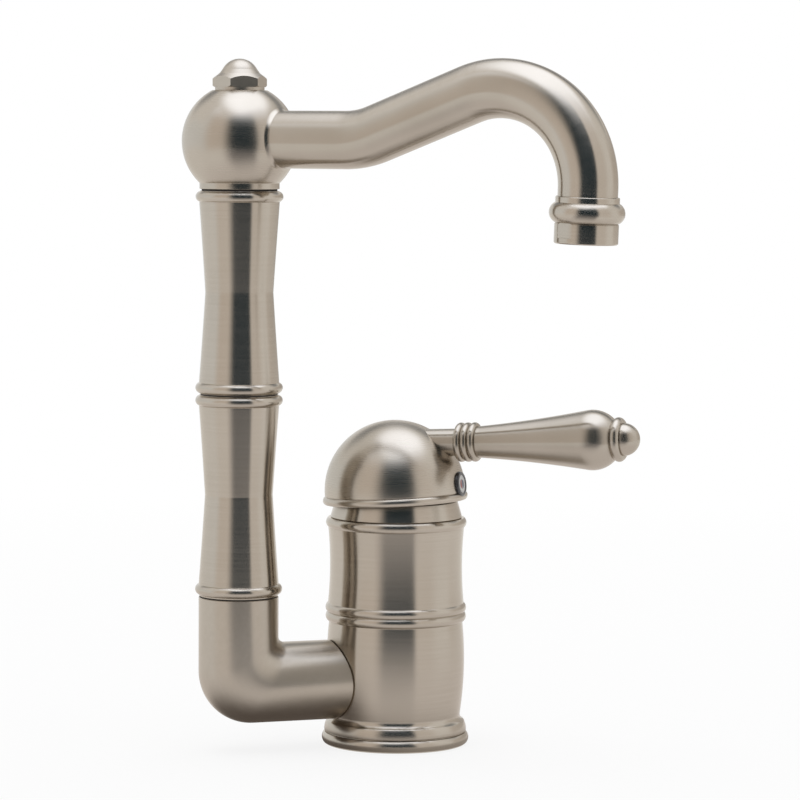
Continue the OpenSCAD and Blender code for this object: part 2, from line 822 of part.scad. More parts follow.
module handle_grip() {
    head_z = stem_end + handle_collar_h + grip_head_at;
    waist = [grip_neck_r, grip_at + grip_ring_h];
    blend = [grip_head_r * cos(grip_blend), head_z - grip_head_r * sin(grip_blend)];
    last = asin((end_ring_at - head_z) / grip_head_r);
    color(nickel) on_lever() difference() {
        lathe(concat([[0, grip_at], [grip_neck_r, grip_at]], bow(waist, blend, -0.45, 24),
            [for (i = [1:24]) let (a = -grip_blend + (last + grip_blend) * i / 24)
                [grip_head_r * cos(a), head_z + grip_head_r * sin(a)]], [[0, end_ring_at]]));
        drill(rod_r + 0.02, grip_at - cut, end_ring_at + cut);
    }
}

module handle_end_ring() {
    color(nickel) on_lever() difference() {
        lathe(concat([[0, end_ring_at]], bow([end_ring_r - 0.9, end_ring_at],
            [end_ring_r - 1.1, knob_at], 1, 16), [[0, knob_at]]));
        drill(rod_r + 0.02, end_ring_at - cut, knob_at + cut);
    }
}

module handle_knob() {
    color(nickel) on_lever() difference() {
        intersection() {
            translate([0, 0, knob_at]) sphere(r = knob_r);
            drill(knob_r + cut, knob_at, knob_at + knob_r + cut);
        }
        drill(rod_r + 0.02, knob_at - cut, rod_end + 0.2);
    }
}

// Distances of the nipple's two seal grooves from the barrel's axis
nipple_grooves = [barrel_r - 5, nipple_out - 4];

module outlet_nipple() {
    color(brass) on_arm() difference() {
        drill(nipple_r, nipple_in, nipple_out);
        drill(nipple_bore_r, nipple_in - cut, nipple_out + cut);
        for (z = nipple_grooves)
            ring(nipple_r + cut, nipple_r - o_ring_w, z - 0.9, z + 0.9);
    }
}

module outlet_o_rings() {
    color(black) on_arm() for (z = nipple_grooves) o_ring(nipple_r - o_ring_w, o_ring_w, z);
}

module elbow() {
    bend_x = -column_at + elbow_bend_r;
    bend_z = arm_z + elbow_bend_r;
    color(nickel) difference() {
        union() {
            on_column() drill(arm_r, bend_z - bend_lap, elbow_top);
            on_arm() drill(arm_r, barrel_r - 8, column_at - elbow_bend_r + bend_lap);
            translate([bend_x, 0, bend_z]) rotate([90, 0, 0]) rotate([0, 0, 180])
                rotate_extrude(angle = 90) intersection() {
                    translate([elbow_bend_r, 0]) circle(r = arm_r - bend_slim);
                    translate([0, -arm_r]) square([arm_r + elbow_bend_r, 2 * arm_r]);
                }
        }
        lathe(concat([[0, 0], [foot_r + seam, 0]], barrel_outline(seam), [[0, body_h]]));
        on_arm() drill(nipple_r + seat, 0, nipple_out + 0.5);
        on_arm() drill(arm_bore_r, 0, column_at);
        translate([-column_at, 0, arm_z]) sphere(r = leg_bore_r);
        on_column() drill(leg_bore_r, arm_z, elbow_top + cut);
        on_column() drill(joint_bore_r, elbow_top - joiner_h / 2 - 0.2, elbow_top + cut);
    }
}

// A threaded tube across the joint at the given height
module joiner(z) {
    color(brass) on_column() ring(joiner_r, joiner_bore_r, z - joiner_h / 2, z + joiner_h / 2);
}

module elbow_joiner() {
    joiner(elbow_top + column_washer_h / 2);
}

module column_joiner() {
    joiner(lower_top + column_washer_h / 2);
}

// One turned column piece from z0 up, its foot bead raised by the given inset
module column_piece(z0, foot_inset) {
    z1 = z0 + column_h;
    foot = z0 + foot_inset;
    color(nickel) on_column() difference() {
        lathe(concat([[0, z0], [column_r - 0.15, z0]],
            bow([column_r - 0.1, foot], [column_r, foot + end_bead_h], end_bead_swell, 18),
            bow([column_r, foot + end_bead_h + 0.2], [column_r, z1 - end_bead_h - bead_inset - 0.2],
                -column_waist_in, 36),
            bow([column_r, z1 - end_bead_h - bead_inset], [column_r - 0.1, z1 - bead_inset],
                end_bead_swell, 18),
            [[column_r - 0.15, z1], [0, z1]]));
        children();
    }
}

module lower_column() {
    depth = joiner_h / 2 + 0.2;
    column_piece(lower_z, 0.5) {
        drill(column_bore_r, lower_z - cut, lower_top + cut);
        drill(joint_bore_r, lower_z - cut, lower_z + depth);
        drill(joint_bore_r, lower_top - depth, lower_top + cut);
    }
}

module upper_column() {
    column_piece(upper_z, bead_inset) {
        drill(column_bore_r, upper_z - cut, column_top + cut);
        drill(joint_bore_r, upper_z - cut, upper_z + joiner_h / 2 + 0.2);
    }
}

module column_washers() {
    color("#4a4038") on_column() for (z = [elbow_top, lower_top])
        ring(washer_r, joiner_r + 0.1, z, z + column_washer_h);
}

module swivel_post() {
    color(brass) on_column() difference() {
        union() {
            drill(tail_r, column_top - tail_h, column_top);
            drill(post_r, column_top - cut, shoulder_z);
            drill(post_tip_r, shoulder_z - cut, shoulder_z + tip_h);
        }
        drill(post_bore_r, column_top - tail_h - cut, ball_z + 7.3);
        for (a = [0, 90]) translate([0, 0, ball_z]) rotate([0, 90, a])
            drill(post_port_r, -ball_chamber_r, ball_chamber_r);
        for (z = [post_ring_low, post_ring_high])
            ring(post_r + cut, post_r - post_ring_w, z - 1, z + 1);
    }
}

module post_o_rings() {
    color(black) on_column() for (z = [post_ring_low, post_ring_high])
        o_ring(post_r - post_ring_w, post_ring_w, z);
}

module swivel_washer() {
    color("#3c3a38") on_column() ring(ball_neck_r - 0.8, post_r + 0.1, column_top, ball_foot_z);
}

module finial_washer() {
    color(nickel) on_column() ring(finial_washer_r, post_r + 0.1, ball_face_z, shoulder_z);
}

module finial_nut() {
    crown_top = finial_top + finial_crown_h;
    crown_flank = [7.5, finial_top + 2.1];
    color(nickel) on_column() rotate([0, 0, finial_az]) difference() {
        intersection() {
            translate([0, 0, shoulder_z])
                cylinder(d = finial_w, h = finial_hex_h + finial_crown_h, $fn = 6);
            lathe(concat([[0, shoulder_z], [finial_w / 2 - 0.7, shoulder_z],
                [finial_w / 2, shoulder_z + 0.5], [finial_w / 2, finial_top], crown_flank],
                bow([6.4, finial_top + 3.6], [0, crown_top], 1.05, 16)));
        }
        drill(post_tip_r + seat, shoulder_z - cut, shoulder_z + tip_h + 0.4);
    }
}

module spout_ball() {
    color(nickel) difference() {
        on_column() union() {
            intersection() {
                translate([0, 0, ball_z]) sphere(r = ball_r, $fn = 160);
                drill(ball_r + cut, ball_foot_z, ball_face_z);
            }
            drill(ball_neck_r, ball_foot_z, ball_foot_z + 2);
        }
        on_column() drill(ball_bore_r, ball_foot_z - cut, ball_face_z + cut);
        on_column() drill(ball_chamber_r, chamber_low, chamber_high);
        in_spout() translate([0, 0, tube_z]) rotate([0, 90, 0]) {
            drill(tube_r - tube_wall, 0, tube_start);
            drill(socket_bore_r, tube_start - 0.1, ball_r + cut);
            translate([0, 0, 18.2]) cylinder(r1 = socket_bore_r, r2 = socket_bore_r + 2, h = 2);
        }
    }
}

// The tube's round section as a ring, slimmer by the given amount
module tube_section(slim = 0) {
    difference() {
        circle(r = tube_r - slim);
        circle(r = tube_r - tube_wall + slim);
    }
}

// A straight tube between two distances along a line that rises from a point by an angle
module tube_run(from, angle, start, end) {
    translate([from[0], 0, from[1]]) rotate([0, 90 - angle, 0]) translate([0, 0, start])
        linear_extrude(end - start) tube_section();
}

// A bend of the tube about a centre, between two directions from that centre
module tube_bend(centre, radius, from, to, slim) {
    translate([centre[0], 0, centre[1]]) rotate([90, 0, 0]) rotate([0, 0, from])
        rotate_extrude(angle = to - from) translate([radius, 0]) tube_section(slim);
}

module spout_tube() {
    rise_centre = [run_out, tube_z + rise_r];
    nose_lap = bend_lap / nose_r * 180 / PI;
    color(nickel) in_spout() {
        tube_run([0, tube_z], 0, tube_start, run_out + bend_lap);
        tube_bend(rise_centre, rise_r, -90, rise - 90, bend_slim);
        tube_run(rise_end, rise, -bend_lap, run_up + bend_lap);
        tube_bend(crest_centre, crest_r, 90 - nose_start_dir, 90 + rise, bend_slim);
        tube_bend(nose_centre, nose_r, 90 - nose_down, 90 - nose_start_dir + nose_lap, 2 * bend_slim);
        tube_run(nose_end, -nose_down, -bend_lap, tube_end);
    }
}

module nozzle_collar() {
    color(nickel) on_nozzle() difference() {
        lathe(concat([[0, step_at], [nozzle_r - 0.3, step_at], [nozzle_r, step_at + 0.3],
            [nozzle_r, bead_at]],
            bow([nozzle_r, bead_at + 0.05], [nozzle_r, outlet_at - 0.05], nozzle_bead_swell, 24),
            [[0, outlet_at]]));
        drill(tube_r + seat, step_at - cut, thread_at);
        drill(nozzle_thread_r, step_at, outlet_at + cut);
    }
}

module aerator_housing() {
    reach = nozzle_r + cut;
    color(nickel) on_nozzle() difference() {
        union() {
            drill(nozzle_thread_r - seat, thread_at, outlet_at + cut);
            lathe([[0, outlet_at], [nozzle_r - 0.2, outlet_at], [nozzle_r - 0.2, outlet_at + 0.2],
                [nozzle_r, outlet_at + 0.4], [nozzle_r, outlet_end - 0.4],
                [nozzle_r - 0.4, outlet_end], [0, outlet_end]]);
        }
        drill(aerator_r, thread_at - cut, outlet_end - outlet_lip_h);
        drill(aerator_r - 0.9, thread_at, outlet_end + cut);
        for (side = [0, 180]) rotate([0, 0, flat_az + side])
            translate([nozzle_r - flat_in, -reach, outlet_at]) cube([2, 2 * reach, flat_h]);
    }
}

module aerator_washer() {
    color(black) on_nozzle() ring(tube_r - 0.05, tube_r - 3.6, tube_end, thread_at);
}

module aerator_insert() {
    insert_r = aerator_r - seat;
    top = thread_at + 1.2;
    bottom = outlet_end - outlet_lip_h - screen_h;
    hole_ring_r = 5.4;
    color("#5f6a72") on_nozzle() difference() {
        drill(insert_r, top, bottom);
        drill(insert_r - 1.4, top - cut, top + 2.4);
        for (a = [0:30:330]) rotate([0, 0, a]) translate([hole_ring_r, 0, 0])
            drill(0.8, top, bottom + cut);
        for (a = [0:60:300]) rotate([0, 0, a]) translate([hole_ring_r / 2, 0, 0])
            drill(0.8, top, bottom + cut);
    }
}

module aerator_screen() {
    bar = 0.5;
    pitch = 1.6;
    screen_z = outlet_end - outlet_lip_h - screen_h;
    color("#c9c9c6") on_nozzle() {
        ring(aerator_r - seat, aerator_r - 1.3, screen_z, screen_z + screen_h);
        intersection() {
            drill(aerator_r - 0.7, screen_z, screen_z + screen_h);
            for (i = [-4:4], turn = [0, 90]) rotate([0, 0, turn])
                translate([i * pitch - bar / 2, -aerator_r, screen_z])
                    cube([bar, 2 * aerator_r, screen_h]);
        }
    }
}

base_gasket();
base_flange();
valve_body();
neck_collar();
neck_o_ring();
cartridge_nut();
cartridge_shell();
cartridge_base();
cartridge_seals();
fixed_disc();
moving_disc();
disc_carrier();
cartridge_rotor();
pivot_pin();
lever_spindle();
lever_dome();
set_screw();
index_plug();
index_disc();
hot_mark();
cold_mark();
lever_stem();
handle_rod();
handle_collar();
handle_grip();
handle_end_ring();
handle_knob();
outlet_nipple();
outlet_o_rings();
elbow();
elbow_joiner();
lower_column();
column_joiner();
upper_column();
column_washers();
swivel_post();
post_o_rings();
swivel_washer();
finial_washer();
finial_nut();
spout_ball();
spout_tube();
nozzle_collar();
aerator_housing();
aerator_washer();
aerator_insert();
aerator_screen();
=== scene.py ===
import json
import math

import bpy
import numpy as np
from mathutils import Matrix, Vector


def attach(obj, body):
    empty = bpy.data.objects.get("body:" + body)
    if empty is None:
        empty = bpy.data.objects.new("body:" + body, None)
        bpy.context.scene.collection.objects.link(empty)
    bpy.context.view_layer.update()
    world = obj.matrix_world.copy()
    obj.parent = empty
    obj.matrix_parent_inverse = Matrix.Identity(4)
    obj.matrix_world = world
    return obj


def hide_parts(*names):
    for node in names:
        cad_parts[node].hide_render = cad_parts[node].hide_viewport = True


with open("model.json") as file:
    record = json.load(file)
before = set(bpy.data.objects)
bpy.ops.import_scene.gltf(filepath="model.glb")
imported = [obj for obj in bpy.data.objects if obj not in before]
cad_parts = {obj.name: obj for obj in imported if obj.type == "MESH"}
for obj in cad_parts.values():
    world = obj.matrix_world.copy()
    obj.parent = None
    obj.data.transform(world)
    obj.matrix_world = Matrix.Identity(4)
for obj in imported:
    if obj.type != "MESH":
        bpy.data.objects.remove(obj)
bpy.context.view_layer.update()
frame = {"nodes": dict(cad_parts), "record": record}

# ---------------------------------------------------------------- sizes, in millimetres

MM = 0.001

# Barrel, from the deck up
FLANGE_H = 4.7
FLANGE_SWELL = 1.1
HUB_R = 20.0
FLANGE_BORE_R = HUB_R + 0.2
BARREL_R = 26.15
FLANGE_FOOT_R = BARREL_R + 0.65
FLANGE_RIM_R = FLANGE_FOOT_R + 0.2
FOOT_SWELL = 0.25
SHOULDER_EDGE = 0.3
SHOULDER_HOLLOW = 0.5
BELLY_SWELL = 1.1
WAIST_IN = 0.7
BEAD_SWELL = 0.85
SHOULDER_TOP = FLANGE_H + 3.9
BELLY_Z = SHOULDER_TOP + 3.0
BELLY_TOP = BELLY_Z + 35.3
MID_BEAD_H = 3.5
MID_BEADS_TOP = BELLY_TOP + 2 * MID_BEAD_H
WAIST_TOP = MID_BEADS_TOP + 28.8
BODY_H = WAIST_TOP + 3.7
SPIGOT_TOP = BODY_H + 5.1
NECK_TOP = BODY_H + 6.8
NECK_FOOT_R = BARREL_R - 1.1
NECK_TAPER = 1.8
NECK_LIP_R = 20.0
FOOT_R = BARREL_R + 0.9
GROOVE_R = FOOT_R - 0.85
GROOVE_HALF = 0.3
SHOULDER_R = BARREL_R + 0.15
BELLY_FOOT_R = BARREL_R - 1.45
BELLY_TOP_R = BARREL_R - 0.75
BEAD_FOOT_R = BARREL_R - 0.3
BEAD_STEP_R = BEAD_FOOT_R + 0.2
NUT_BORE_R = 19.5
SPIGOT_R = 21.95

# Ports under the foot: place and radius
PORT_DEPTH = 13.0
PORTS = ((7.82, 2.32, 4.6), (-0.92, -8.10, 4.6), (-6.5, 7.5, 3.4))

# Lever, from its pivot
PIVOT_Z = 85.0
LEVER_AZ = -40.0
REST_TILT = 3.0
DOME_R = BARREL_R + 0.6
DOME_Z = 11.6
DOME_WALL = 2.15
RIM_R = DOME_R + 0.05
RIM_Z = 7.4
RIM_H = 3.0
RIM_SWELL = 0.7
LIP_R = DOME_R - 0.55
LIP_H = 1.4
LEVER_UP = 0.667 * DOME_R
LEVER_Z = DOME_Z + LEVER_UP
STEM_R = 5.2
STEM_END = math.sqrt(DOME_R**2 - LEVER_UP**2) + 6.5
STEM_START = math.sqrt(DOME_R**2 - (LEVER_UP + STEM_R) ** 2) - 1
COLLAR_R = 7.45
COLLAR_NECK_R = COLLAR_R - 1.1
COLLAR_BEAD_H = 2.72
GRIP_AT = STEM_END + 3 * COLLAR_BEAD_H
GRIP_NECK_R = 6.0
GRIP_HEAD_R = 11.3
GRIP_HEAD_AT = GRIP_AT + 45.1
GRIP_BLEND = 9.0
GRIP_HOLLOW = 0.45
GRIP_NECK_H = 1.2
END_RING_AT = GRIP_AT + 53.7
END_RING_R = 8.3
END_RING_SWELL = 1.0
KNOB_AT = END_RING_AT + 3.4
KNOB_R = 6.15

# Arm, elbow and column
COLUMN_AT = 62.5
ARM_Z = 25.3
ARM_R = 15.0
ELBOW_OUTER_R = 20.0
ELBOW_INNER_R = 3.2
ELBOW_TOP = ARM_Z + 33.0
SEAM = 0.45
COLUMN_H = 75.5
COLUMN_R = 15.0
COLUMN_END_R = COLUMN_R - 0.15
COLUMN_BEAD_R = COLUMN_R - 0.1
COLUMN_WAIST_IN = 2.3
WAIST_CONE_HOLLOW = 0.05
COLUMN_BORE_R = 10.3
END_BEAD_SWELL = 1.4
END_BEAD_H = 3.9
BEAD_INSET = 0.15
LOW_BEAD_INSET = 0.5
COLUMN_WASHER_H = 0.5
LOWER_Z = ELBOW_TOP + COLUMN_WASHER_H
UPPER_Z = LOWER_Z + COLUMN_H + COLUMN_WASHER_H
COLUMN_TOP = UPPER_Z + COLUMN_H
BALL_Z = COLUMN_TOP + 18.4
BALL_R = 21.5
BALL_FOOT_Z = COLUMN_TOP + 0.7
BALL_NECK_R = 14.9
BALL_NECK_H = 2.0
BALL_FACE_Z = BALL_Z + 18.9
BALL_BORE_R = 7.04
SOCKET_R = 10.72
ELBOW_BEND_POWER = 1.3

# Spout, in its own plane: distance from the column's axis, and height
SPOUT_AZ = -49.3
TUBE_R = 10.67
TUBE_Z = BALL_Z + 0.75
TUBE_START = 12.6
SOCKET_START = TUBE_START - 0.1
RUN_OUT = 46.0
RISE = 20.4
RISE_R = 39.0
RUN_UP = 40.5
CREST_R = 36.7
CREST_TURN = 42.0
NOSE_R = 34.1
NOSE_DOWN = 92.0
TUBE_END = 6.0
NOZZLE_STEP = 2.6
NOZZLE_BEAD = NOZZLE_STEP + 2.1
OUTLET = NOZZLE_BEAD + 7.2
NOZZLE_R = 11.4
NOZZLE_BEAD_SWELL = 2.1
NOZZLE_BORE_R = TUBE_R + 0.05
NOZZLE_EDGE = 0.3
NOZZLE_THREAD_R = TUBE_R - 1.07
THREAD_AT = TUBE_END + 1.2
OUTLET_END = OUTLET + 7.4
AERATOR_R = NOZZLE_THREAD_R - 1.1
OUTLET_MOUTH_R = AERATOR_R - 0.9
OUTLET_EDGE = 0.4
OUTLET_STEP = 0.2
OUTLET_LIP_H = 0.8
FLAT_IN = 0.5
FLAT_H = 5.3
FLAT_AZ = -73
BRAZE = 1.0

# Least steps between neighbouring forms
HAIR = 0.05
CREASE = 0.1

# Camera: place, aim and lens of the photograph
CAMERA_AT = (-445.99, -1278.63, 234.36)
CAMERA_AZ = -19.278
CAMERA_EL = 4.365
CAMERA_ROLL = 0.33
LENS = 161.0
SENSOR = 36.0
VIEW_DEPTH = 50

# ---------------------------------------------------------------- places of the moving pieces


def turn(angle, axis):
    """A turn by degrees about an axis through the origin."""
    return Matrix.Rotation(math.radians(angle), 4, axis)


def shift(x, y, z):
    """A move by millimetres."""
    return Matrix.Translation(Vector((x, y, z)) * MM)


DECK = Matrix.Identity(4)
DOME = shift(0, 0, PIVOT_Z) @ turn(LEVER_AZ, "Z") @ turn(-REST_TILT, "Y")
LEVER = DOME @ shift(0, 0, LEVER_Z) @ turn(90, "Y")
COLUMN = shift(-COLUMN_AT, 0, 0)
SPOUT = COLUMN @ turn(SPOUT_AZ, "Z")

# ---------------------------------------------------------------- outlines

POLE = math.pi / 2


def bow(p, q, swell, n=24):
    """Points of an arc from p to q that swells to the right, or to the left if negative."""
    p, q = Vector(p), Vector(q)
    chord = (q - p).length
    along = (q - p) / chord
    out = Vector((along.y, -along.x)) * math.copysign(1, swell)
    radius = (chord * chord / 4 + swell * swell) / (2 * abs(swell))
    centre = (p + q) / 2 - out * (radius - abs(swell))
    half = math.asin(min(1.0, chord / 2 / radius))
    angles = [-half + 2 * half * i / n for i in range(n + 1)]
    return [tuple(centre + radius * (out * math.cos(a) + along * math.sin(a))) for a in angles]


def without_repeats(points, least=1e-4):
    """Drops each point that lies on the one before it."""
    kept = [points[0]]
    for p in points[1:]:
        if math.dist(p, kept[-1]) > least:
            kept.append(p)
    return kept


def ease(points, radius, sharp=24.0, n=4):
    """Rounds each corner of an open outline that turns by more than the given angle.

    The rounding starts a radius from the corner, or less where a side is short.
    """
    most = 0.45
    points = without_repeats([tuple(p) for p in points])
    eased = [points[0]]
    for a, b, c in zip(points, points[1:], points[2:]):
        a, b, c = Vector(a), Vector(b), Vector(c)
        before, after = b - a, c - b
        angle = math.degrees(before.angle(after))
        if angle < sharp:
            eased.append(tuple(b))
            continue
        cut = min(radius, most * before.length, most * after.length)
        start = b - before.normalized() * cut
        end = b + after.normalized() * cut
        for i in range(n + 1):
            t = i / n
            eased.append(tuple((1 - t) ** 2 * start + 2 * t * (1 - t) * b + t * t * end))
    return without_repeats(eased + [points[-1]])


def polar_arc(radius, middle, start, end, n):
    """Points of an arc about a centre on the axis. One that ends at the pole closes on the axis."""
    angles = [start + (end - start) * i / n for i in range(n + 1)]
    points = [(radius * math.cos(a), middle + radius * math.sin(a)) for a in angles]
    if end == POLE:
        points[-1] = (0.0, points[-1][1])
    return points


def barrel_outline():
    """The barrel's side from the groove over the flange up to its top bead."""
    groove_top = FLANGE_H + GROOVE_HALF
    shoulder = (SHOULDER_R - SHOULDER_EDGE, SHOULDER_TOP + SHOULDER_EDGE)
    belly_foot = (BELLY_FOOT_R, BELLY_Z)
    between_beads = (BEAD_STEP_R, BELLY_TOP + MID_BEAD_H)
    return (
        [(GROOVE_R, FLANGE_H), (GROOVE_R, groove_top)]
        + bow((FOOT_R, groove_top), (SHOULDER_R, SHOULDER_TOP), FOOT_SWELL)
        + bow(shoulder, belly_foot, -SHOULDER_HOLLOW)
        + bow(belly_foot, (BELLY_TOP_R, BELLY_TOP), BELLY_SWELL, 64)
        + bow((BEAD_FOOT_R - CREASE, BELLY_TOP), between_beads, BEAD_SWELL)
        + bow(between_beads, (BEAD_FOOT_R, MID_BEADS_TOP), BEAD_SWELL)
        + bow((BEAD_FOOT_R, MID_BEADS_TOP + CREASE), (BEAD_FOOT_R, WAIST_TOP), -WAIST_IN, 64)
        + bow((BEAD_FOOT_R, WAIST_TOP + HAIR), (BEAD_FOOT_R, BODY_H), BEAD_SWELL + HAIR)
    )


def barrel_radius(z):
    """Radius of the barrel at a height, for the arm's coped end."""
    points = barrel_outline()
    for (r0, z0), (r1, z1) in zip(points, points[1:]):
        if z0 <= z <= z1 and z1 > z0:
            return r0 + (r1 - r0) * (z - z0) / (z1 - z0)
    return FOOT_R


def column_outline(z0, foot_inset):
    """One length of the column: a bead at each end, and two cones that meet at the waist."""
    z1 = z0 + COLUMN_H
    foot = z0 + foot_inset
    bead_step = 0.2
    waist_z0 = foot + END_BEAD_H + bead_step
    waist_z1 = z1 - END_BEAD_H - BEAD_INSET - bead_step
    waist = (COLUMN_R - COLUMN_WAIST_IN, (waist_z0 + waist_z1) / 2)
    top_bead = (COLUMN_R, z1 - END_BEAD_H - BEAD_INSET)
    return (
        [(COLUMN_BORE_R, z0), (COLUMN_END_R, z0)]
        + bow((COLUMN_BEAD_R, foot), (COLUMN_R, foot + END_BEAD_H), END_BEAD_SWELL)
        + bow((COLUMN_R, waist_z0), waist, -WAIST_CONE_HOLLOW, 40)
        + bow(waist, (COLUMN_R, waist_z1), -WAIST_CONE_HOLLOW, 40)
        + bow(top_bead, (COLUMN_BEAD_R, z1 - BEAD_INSET), END_BEAD_SWELL)
        + [(COLUMN_END_R, z1), (COLUMN_BORE_R, z1), (COLUMN_BORE_R, z0)]
    )


# ---------------------------------------------------------------- meshes

ON_AXIS = 1e-6
UV_PER_MM = 0.01


def keep_turning(mesh, turned):
    """Keeps each point's place about its own turning axis, and a UV map that runs round it."""
    turned = np.asarray(turned, dtype=float)
    kept = mesh.attributes.new("turned", "FLOAT_VECTOR", "POINT")
    kept.data.foreach_set("vector", (turned * MM).ravel())
    corners = np.empty(len(mesh.loops), dtype=int)
    mesh.loops.foreach_get("vertex_index", corners)
    starts = np.empty(len(mesh.polygons), dtype=int)
    totals = np.empty(len(mesh.polygons), dtype=int)
    mesh.polygons.foreach_get("loop_start", starts)
    mesh.polygons.foreach_get("loop_total", totals)
    place = turned[corners]
    angle = np.arctan2(place[:, 1], place[:, 0])
    on_axis = np.hypot(place[:, 0], place[:, 1]) < ON_AXIS
    first = np.where(on_axis[starts], angle[starts + 1], angle[starts])
    first = np.repeat(first, totals)
    angle = np.where(on_axis, first, angle)
    angle -= 2 * np.pi * np.round((angle - first) / (2 * np.pi))
    layer = mesh.uv_layers.new(name="round")
    layout = np.stack([angle / (2 * np.pi), place[:, 2] * UV_PER_MM], axis=1)
    layer.data.foreach_set("uv", layout.ravel())


def finish_mesh(name, points, faces, at, body, node, material, sharp, turned=None, cutters=()):
    """Makes a smooth piece that rides on a body, and stands for a CAD node if one is named."""
    mesh = bpy.data.meshes.new(name)
    mesh.from_pydata([at @ (Vector(p) * MM) for p in points], [], faces)
    piece = bpy.data.objects.new(name, mesh)
    bpy.context.scene.collection.objects.link(piece)
    if cutters:
        cut_out(piece, cutters)
        back = at.inverted()
        turned = [(back @ v.co) / MM for v in piece.data.vertices]
    mesh = piece.data
    mesh.polygons.foreach_set("use_smooth", [True] * len(mesh.polygons))
    mesh.set_sharp_from_angle(angle=math.radians(sharp))
    keep_turning(mesh, points if turned is None else turned)
    mesh.materials.clear()
    mesh.materials.append(material)
    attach(piece, body)
    if node:
        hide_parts(node)
    return piece


def cut_out(piece, cutters):
    """Cuts other objects out of a piece, applies the cuts and removes the cutters."""
    for tool in cutters:
        hole = piece.modifiers.new("cut", "BOOLEAN")
        hole.operation = "DIFFERENCE"
        hole.solver = "EXACT"
        hole.object = tool
    bpy.context.view_layer.update()
    graph = bpy.context.evaluated_depsgraph_get()
    mesh = bpy.data.meshes.new_from_object(piece.evaluated_get(graph))
    piece.modifiers.clear()
    piece.data = mesh
    for tool in cutters:
        bpy.data.objects.remove(tool)


def drill(radius, z0, z1, at, sides=96):
    """A round tool for cut_out, from z0 to z1 along the +Z of its place."""
    r, depth = radius * MM, (z1 - z0) * MM
    bpy.ops.mesh.primitive_cone_add(vertices=sides, radius1=r, radius2=r, depth=depth)
    tool = bpy.context.object
    tool.matrix_world = at @ shift(0, 0, (z0 + z1) / 2)
    return tool


def block(depth, height, at):
    """A square tool for cut_out, which takes a flat off the outlet's side."""
    thick = 2
    bpy.ops.mesh.primitive_cube_add(size=MM)
    tool = bpy.context.object
    middle = shift(NOZZLE_R - depth + thick / 2, 0, OUTLET + height / 2)
    size = Matrix.Diagonal((thick, 2 * NOZZLE_R + thick, height, 1))
    tool.matrix_world = at @ middle @ size
    return tool


def lathe(name, outline, at, body, node, material, sides=160, sharp=32.0, cutters=()):
    """Turns an outline of (radius, height) about +Z, either closed or ending on the axis."""
    closed = math.dist(outline[0], outline[-1]) < ON_AXIS
    outline = without_repeats(outline)
    if closed:
        outline = outline[:-1]
    points, rings = [], []
    for r, z in outline:
        if r < ON_AXIS:
            rings.append([len(points)] * sides)
            points.append((0.0, 0.0, z))
            continue
        rings.append(list(range(len(points), len(points) + sides)))
        for i in range(sides):
            a = 2 * math.pi * i / sides
            points.append((r * math.cos(a), r * math.sin(a), z))
    faces = []
    pairs = list(zip(rings, rings[1:])) + ([(rings[-1], rings[0])] if closed else [])
    for low, high in pairs:
        for i in range(sides):
            j = (i + 1) % sides
            corners = [low[i], low[j], high[j], high[i]]
            faces.append(list(dict.fromkeys(corners)))
    faces = [f for f in faces if len(f) > 2]
    return finish_mesh(name, points, faces, at, body, node, material, sharp, cutters=cutters)


def loft(name, rings, turned, at, body, node, material, sharp):
    """Skins a list of closed rings of points and caps both ends."""
    sides = len(rings[0])
    points = [p for ring in rings for p in ring]
    faces = [list(range(sides))[::-1], list(range(len(points) - sides, len(points)))]
    for k in range(len(rings) - 1):
        for i in range(sides):
            j = (i + 1) % sides
            low, high = k * sides, (k + 1) * sides
            faces.append([low + i, low + j, high + j, high + i])
    return finish_mesh(name, points, faces, at, body, node, material, sharp, turned)


# ---------------------------------------------------------------- materials


def new_material(name):
    """A new material with its nodes, its links and its shader."""
    material = bpy.data.materials.new(name)
    material.use_nodes = True
    nodes = material.node_tree.nodes
    return material, nodes, material.node_tree.links, nodes["Principled BSDF"]


def noise(nodes, links, scale, stretch=(1, 1, 1), detail=3.0, rough=0.55, place=None):
    """A noise in cycles per metre, stretched by axis, in object coordinates or in those given."""
    if place is None:
        place = nodes.new("ShaderNodeTexCoord").outputs["Object"]
    mapping = nodes.new("ShaderNodeMapping")
    mapping.inputs["Scale"].default_value = stretch
    texture = nodes.new("ShaderNodeTexNoise")
    texture.inputs["Scale"].default_value = scale
    texture.inputs["Detail"].default_value = detail
    texture.inputs["Roughness"].default_value = rough
    links.new(place, mapping.inputs["Vector"])
    links.new(mapping.outputs["Vector"], texture.inputs["Vector"])
    return texture.outputs["Fac"]


def spread(nodes, links, value, low, high, from_low=0.3, from_high=0.7):
    """Maps a noise onto a range of numbers."""
    ranged = nodes.new("ShaderNodeMapRange")
    ranged.inputs["From Min"].default_value = from_low
    ranged.inputs["From Max"].default_value = from_high
    ranged.inputs["To Min"].default_value = low
    ranged.inputs["To Max"].default_value = high
    links.new(value, ranged.inputs["Value"])
    return ranged.outputs["Result"]


def shade(nodes, links, value, dark, light):
    """Mixes two colours by a noise."""
    mix = nodes.new("ShaderNodeMix")
    mix.data_type = "RGBA"
    mix.inputs["A"].default_value = (*dark, 1)
    mix.inputs["B"].default_value = (*light, 1)
    links.new(spread(nodes, links, value, 0, 1), mix.inputs["Factor"])
    return mix.outputs["Result"]


def bump(nodes, links, value, depth, shader, strength=0.5):
    """Raises the surface by a noise, with the depth in metres."""
    raised = nodes.new("ShaderNodeBump")
    raised.inputs["Strength"].default_value = strength
    raised.inputs["Distance"].default_value = depth
    links.new(value, raised.inputs["Height"])
    links.new(raised.outputs["Normal"], shader.inputs["Normal"])


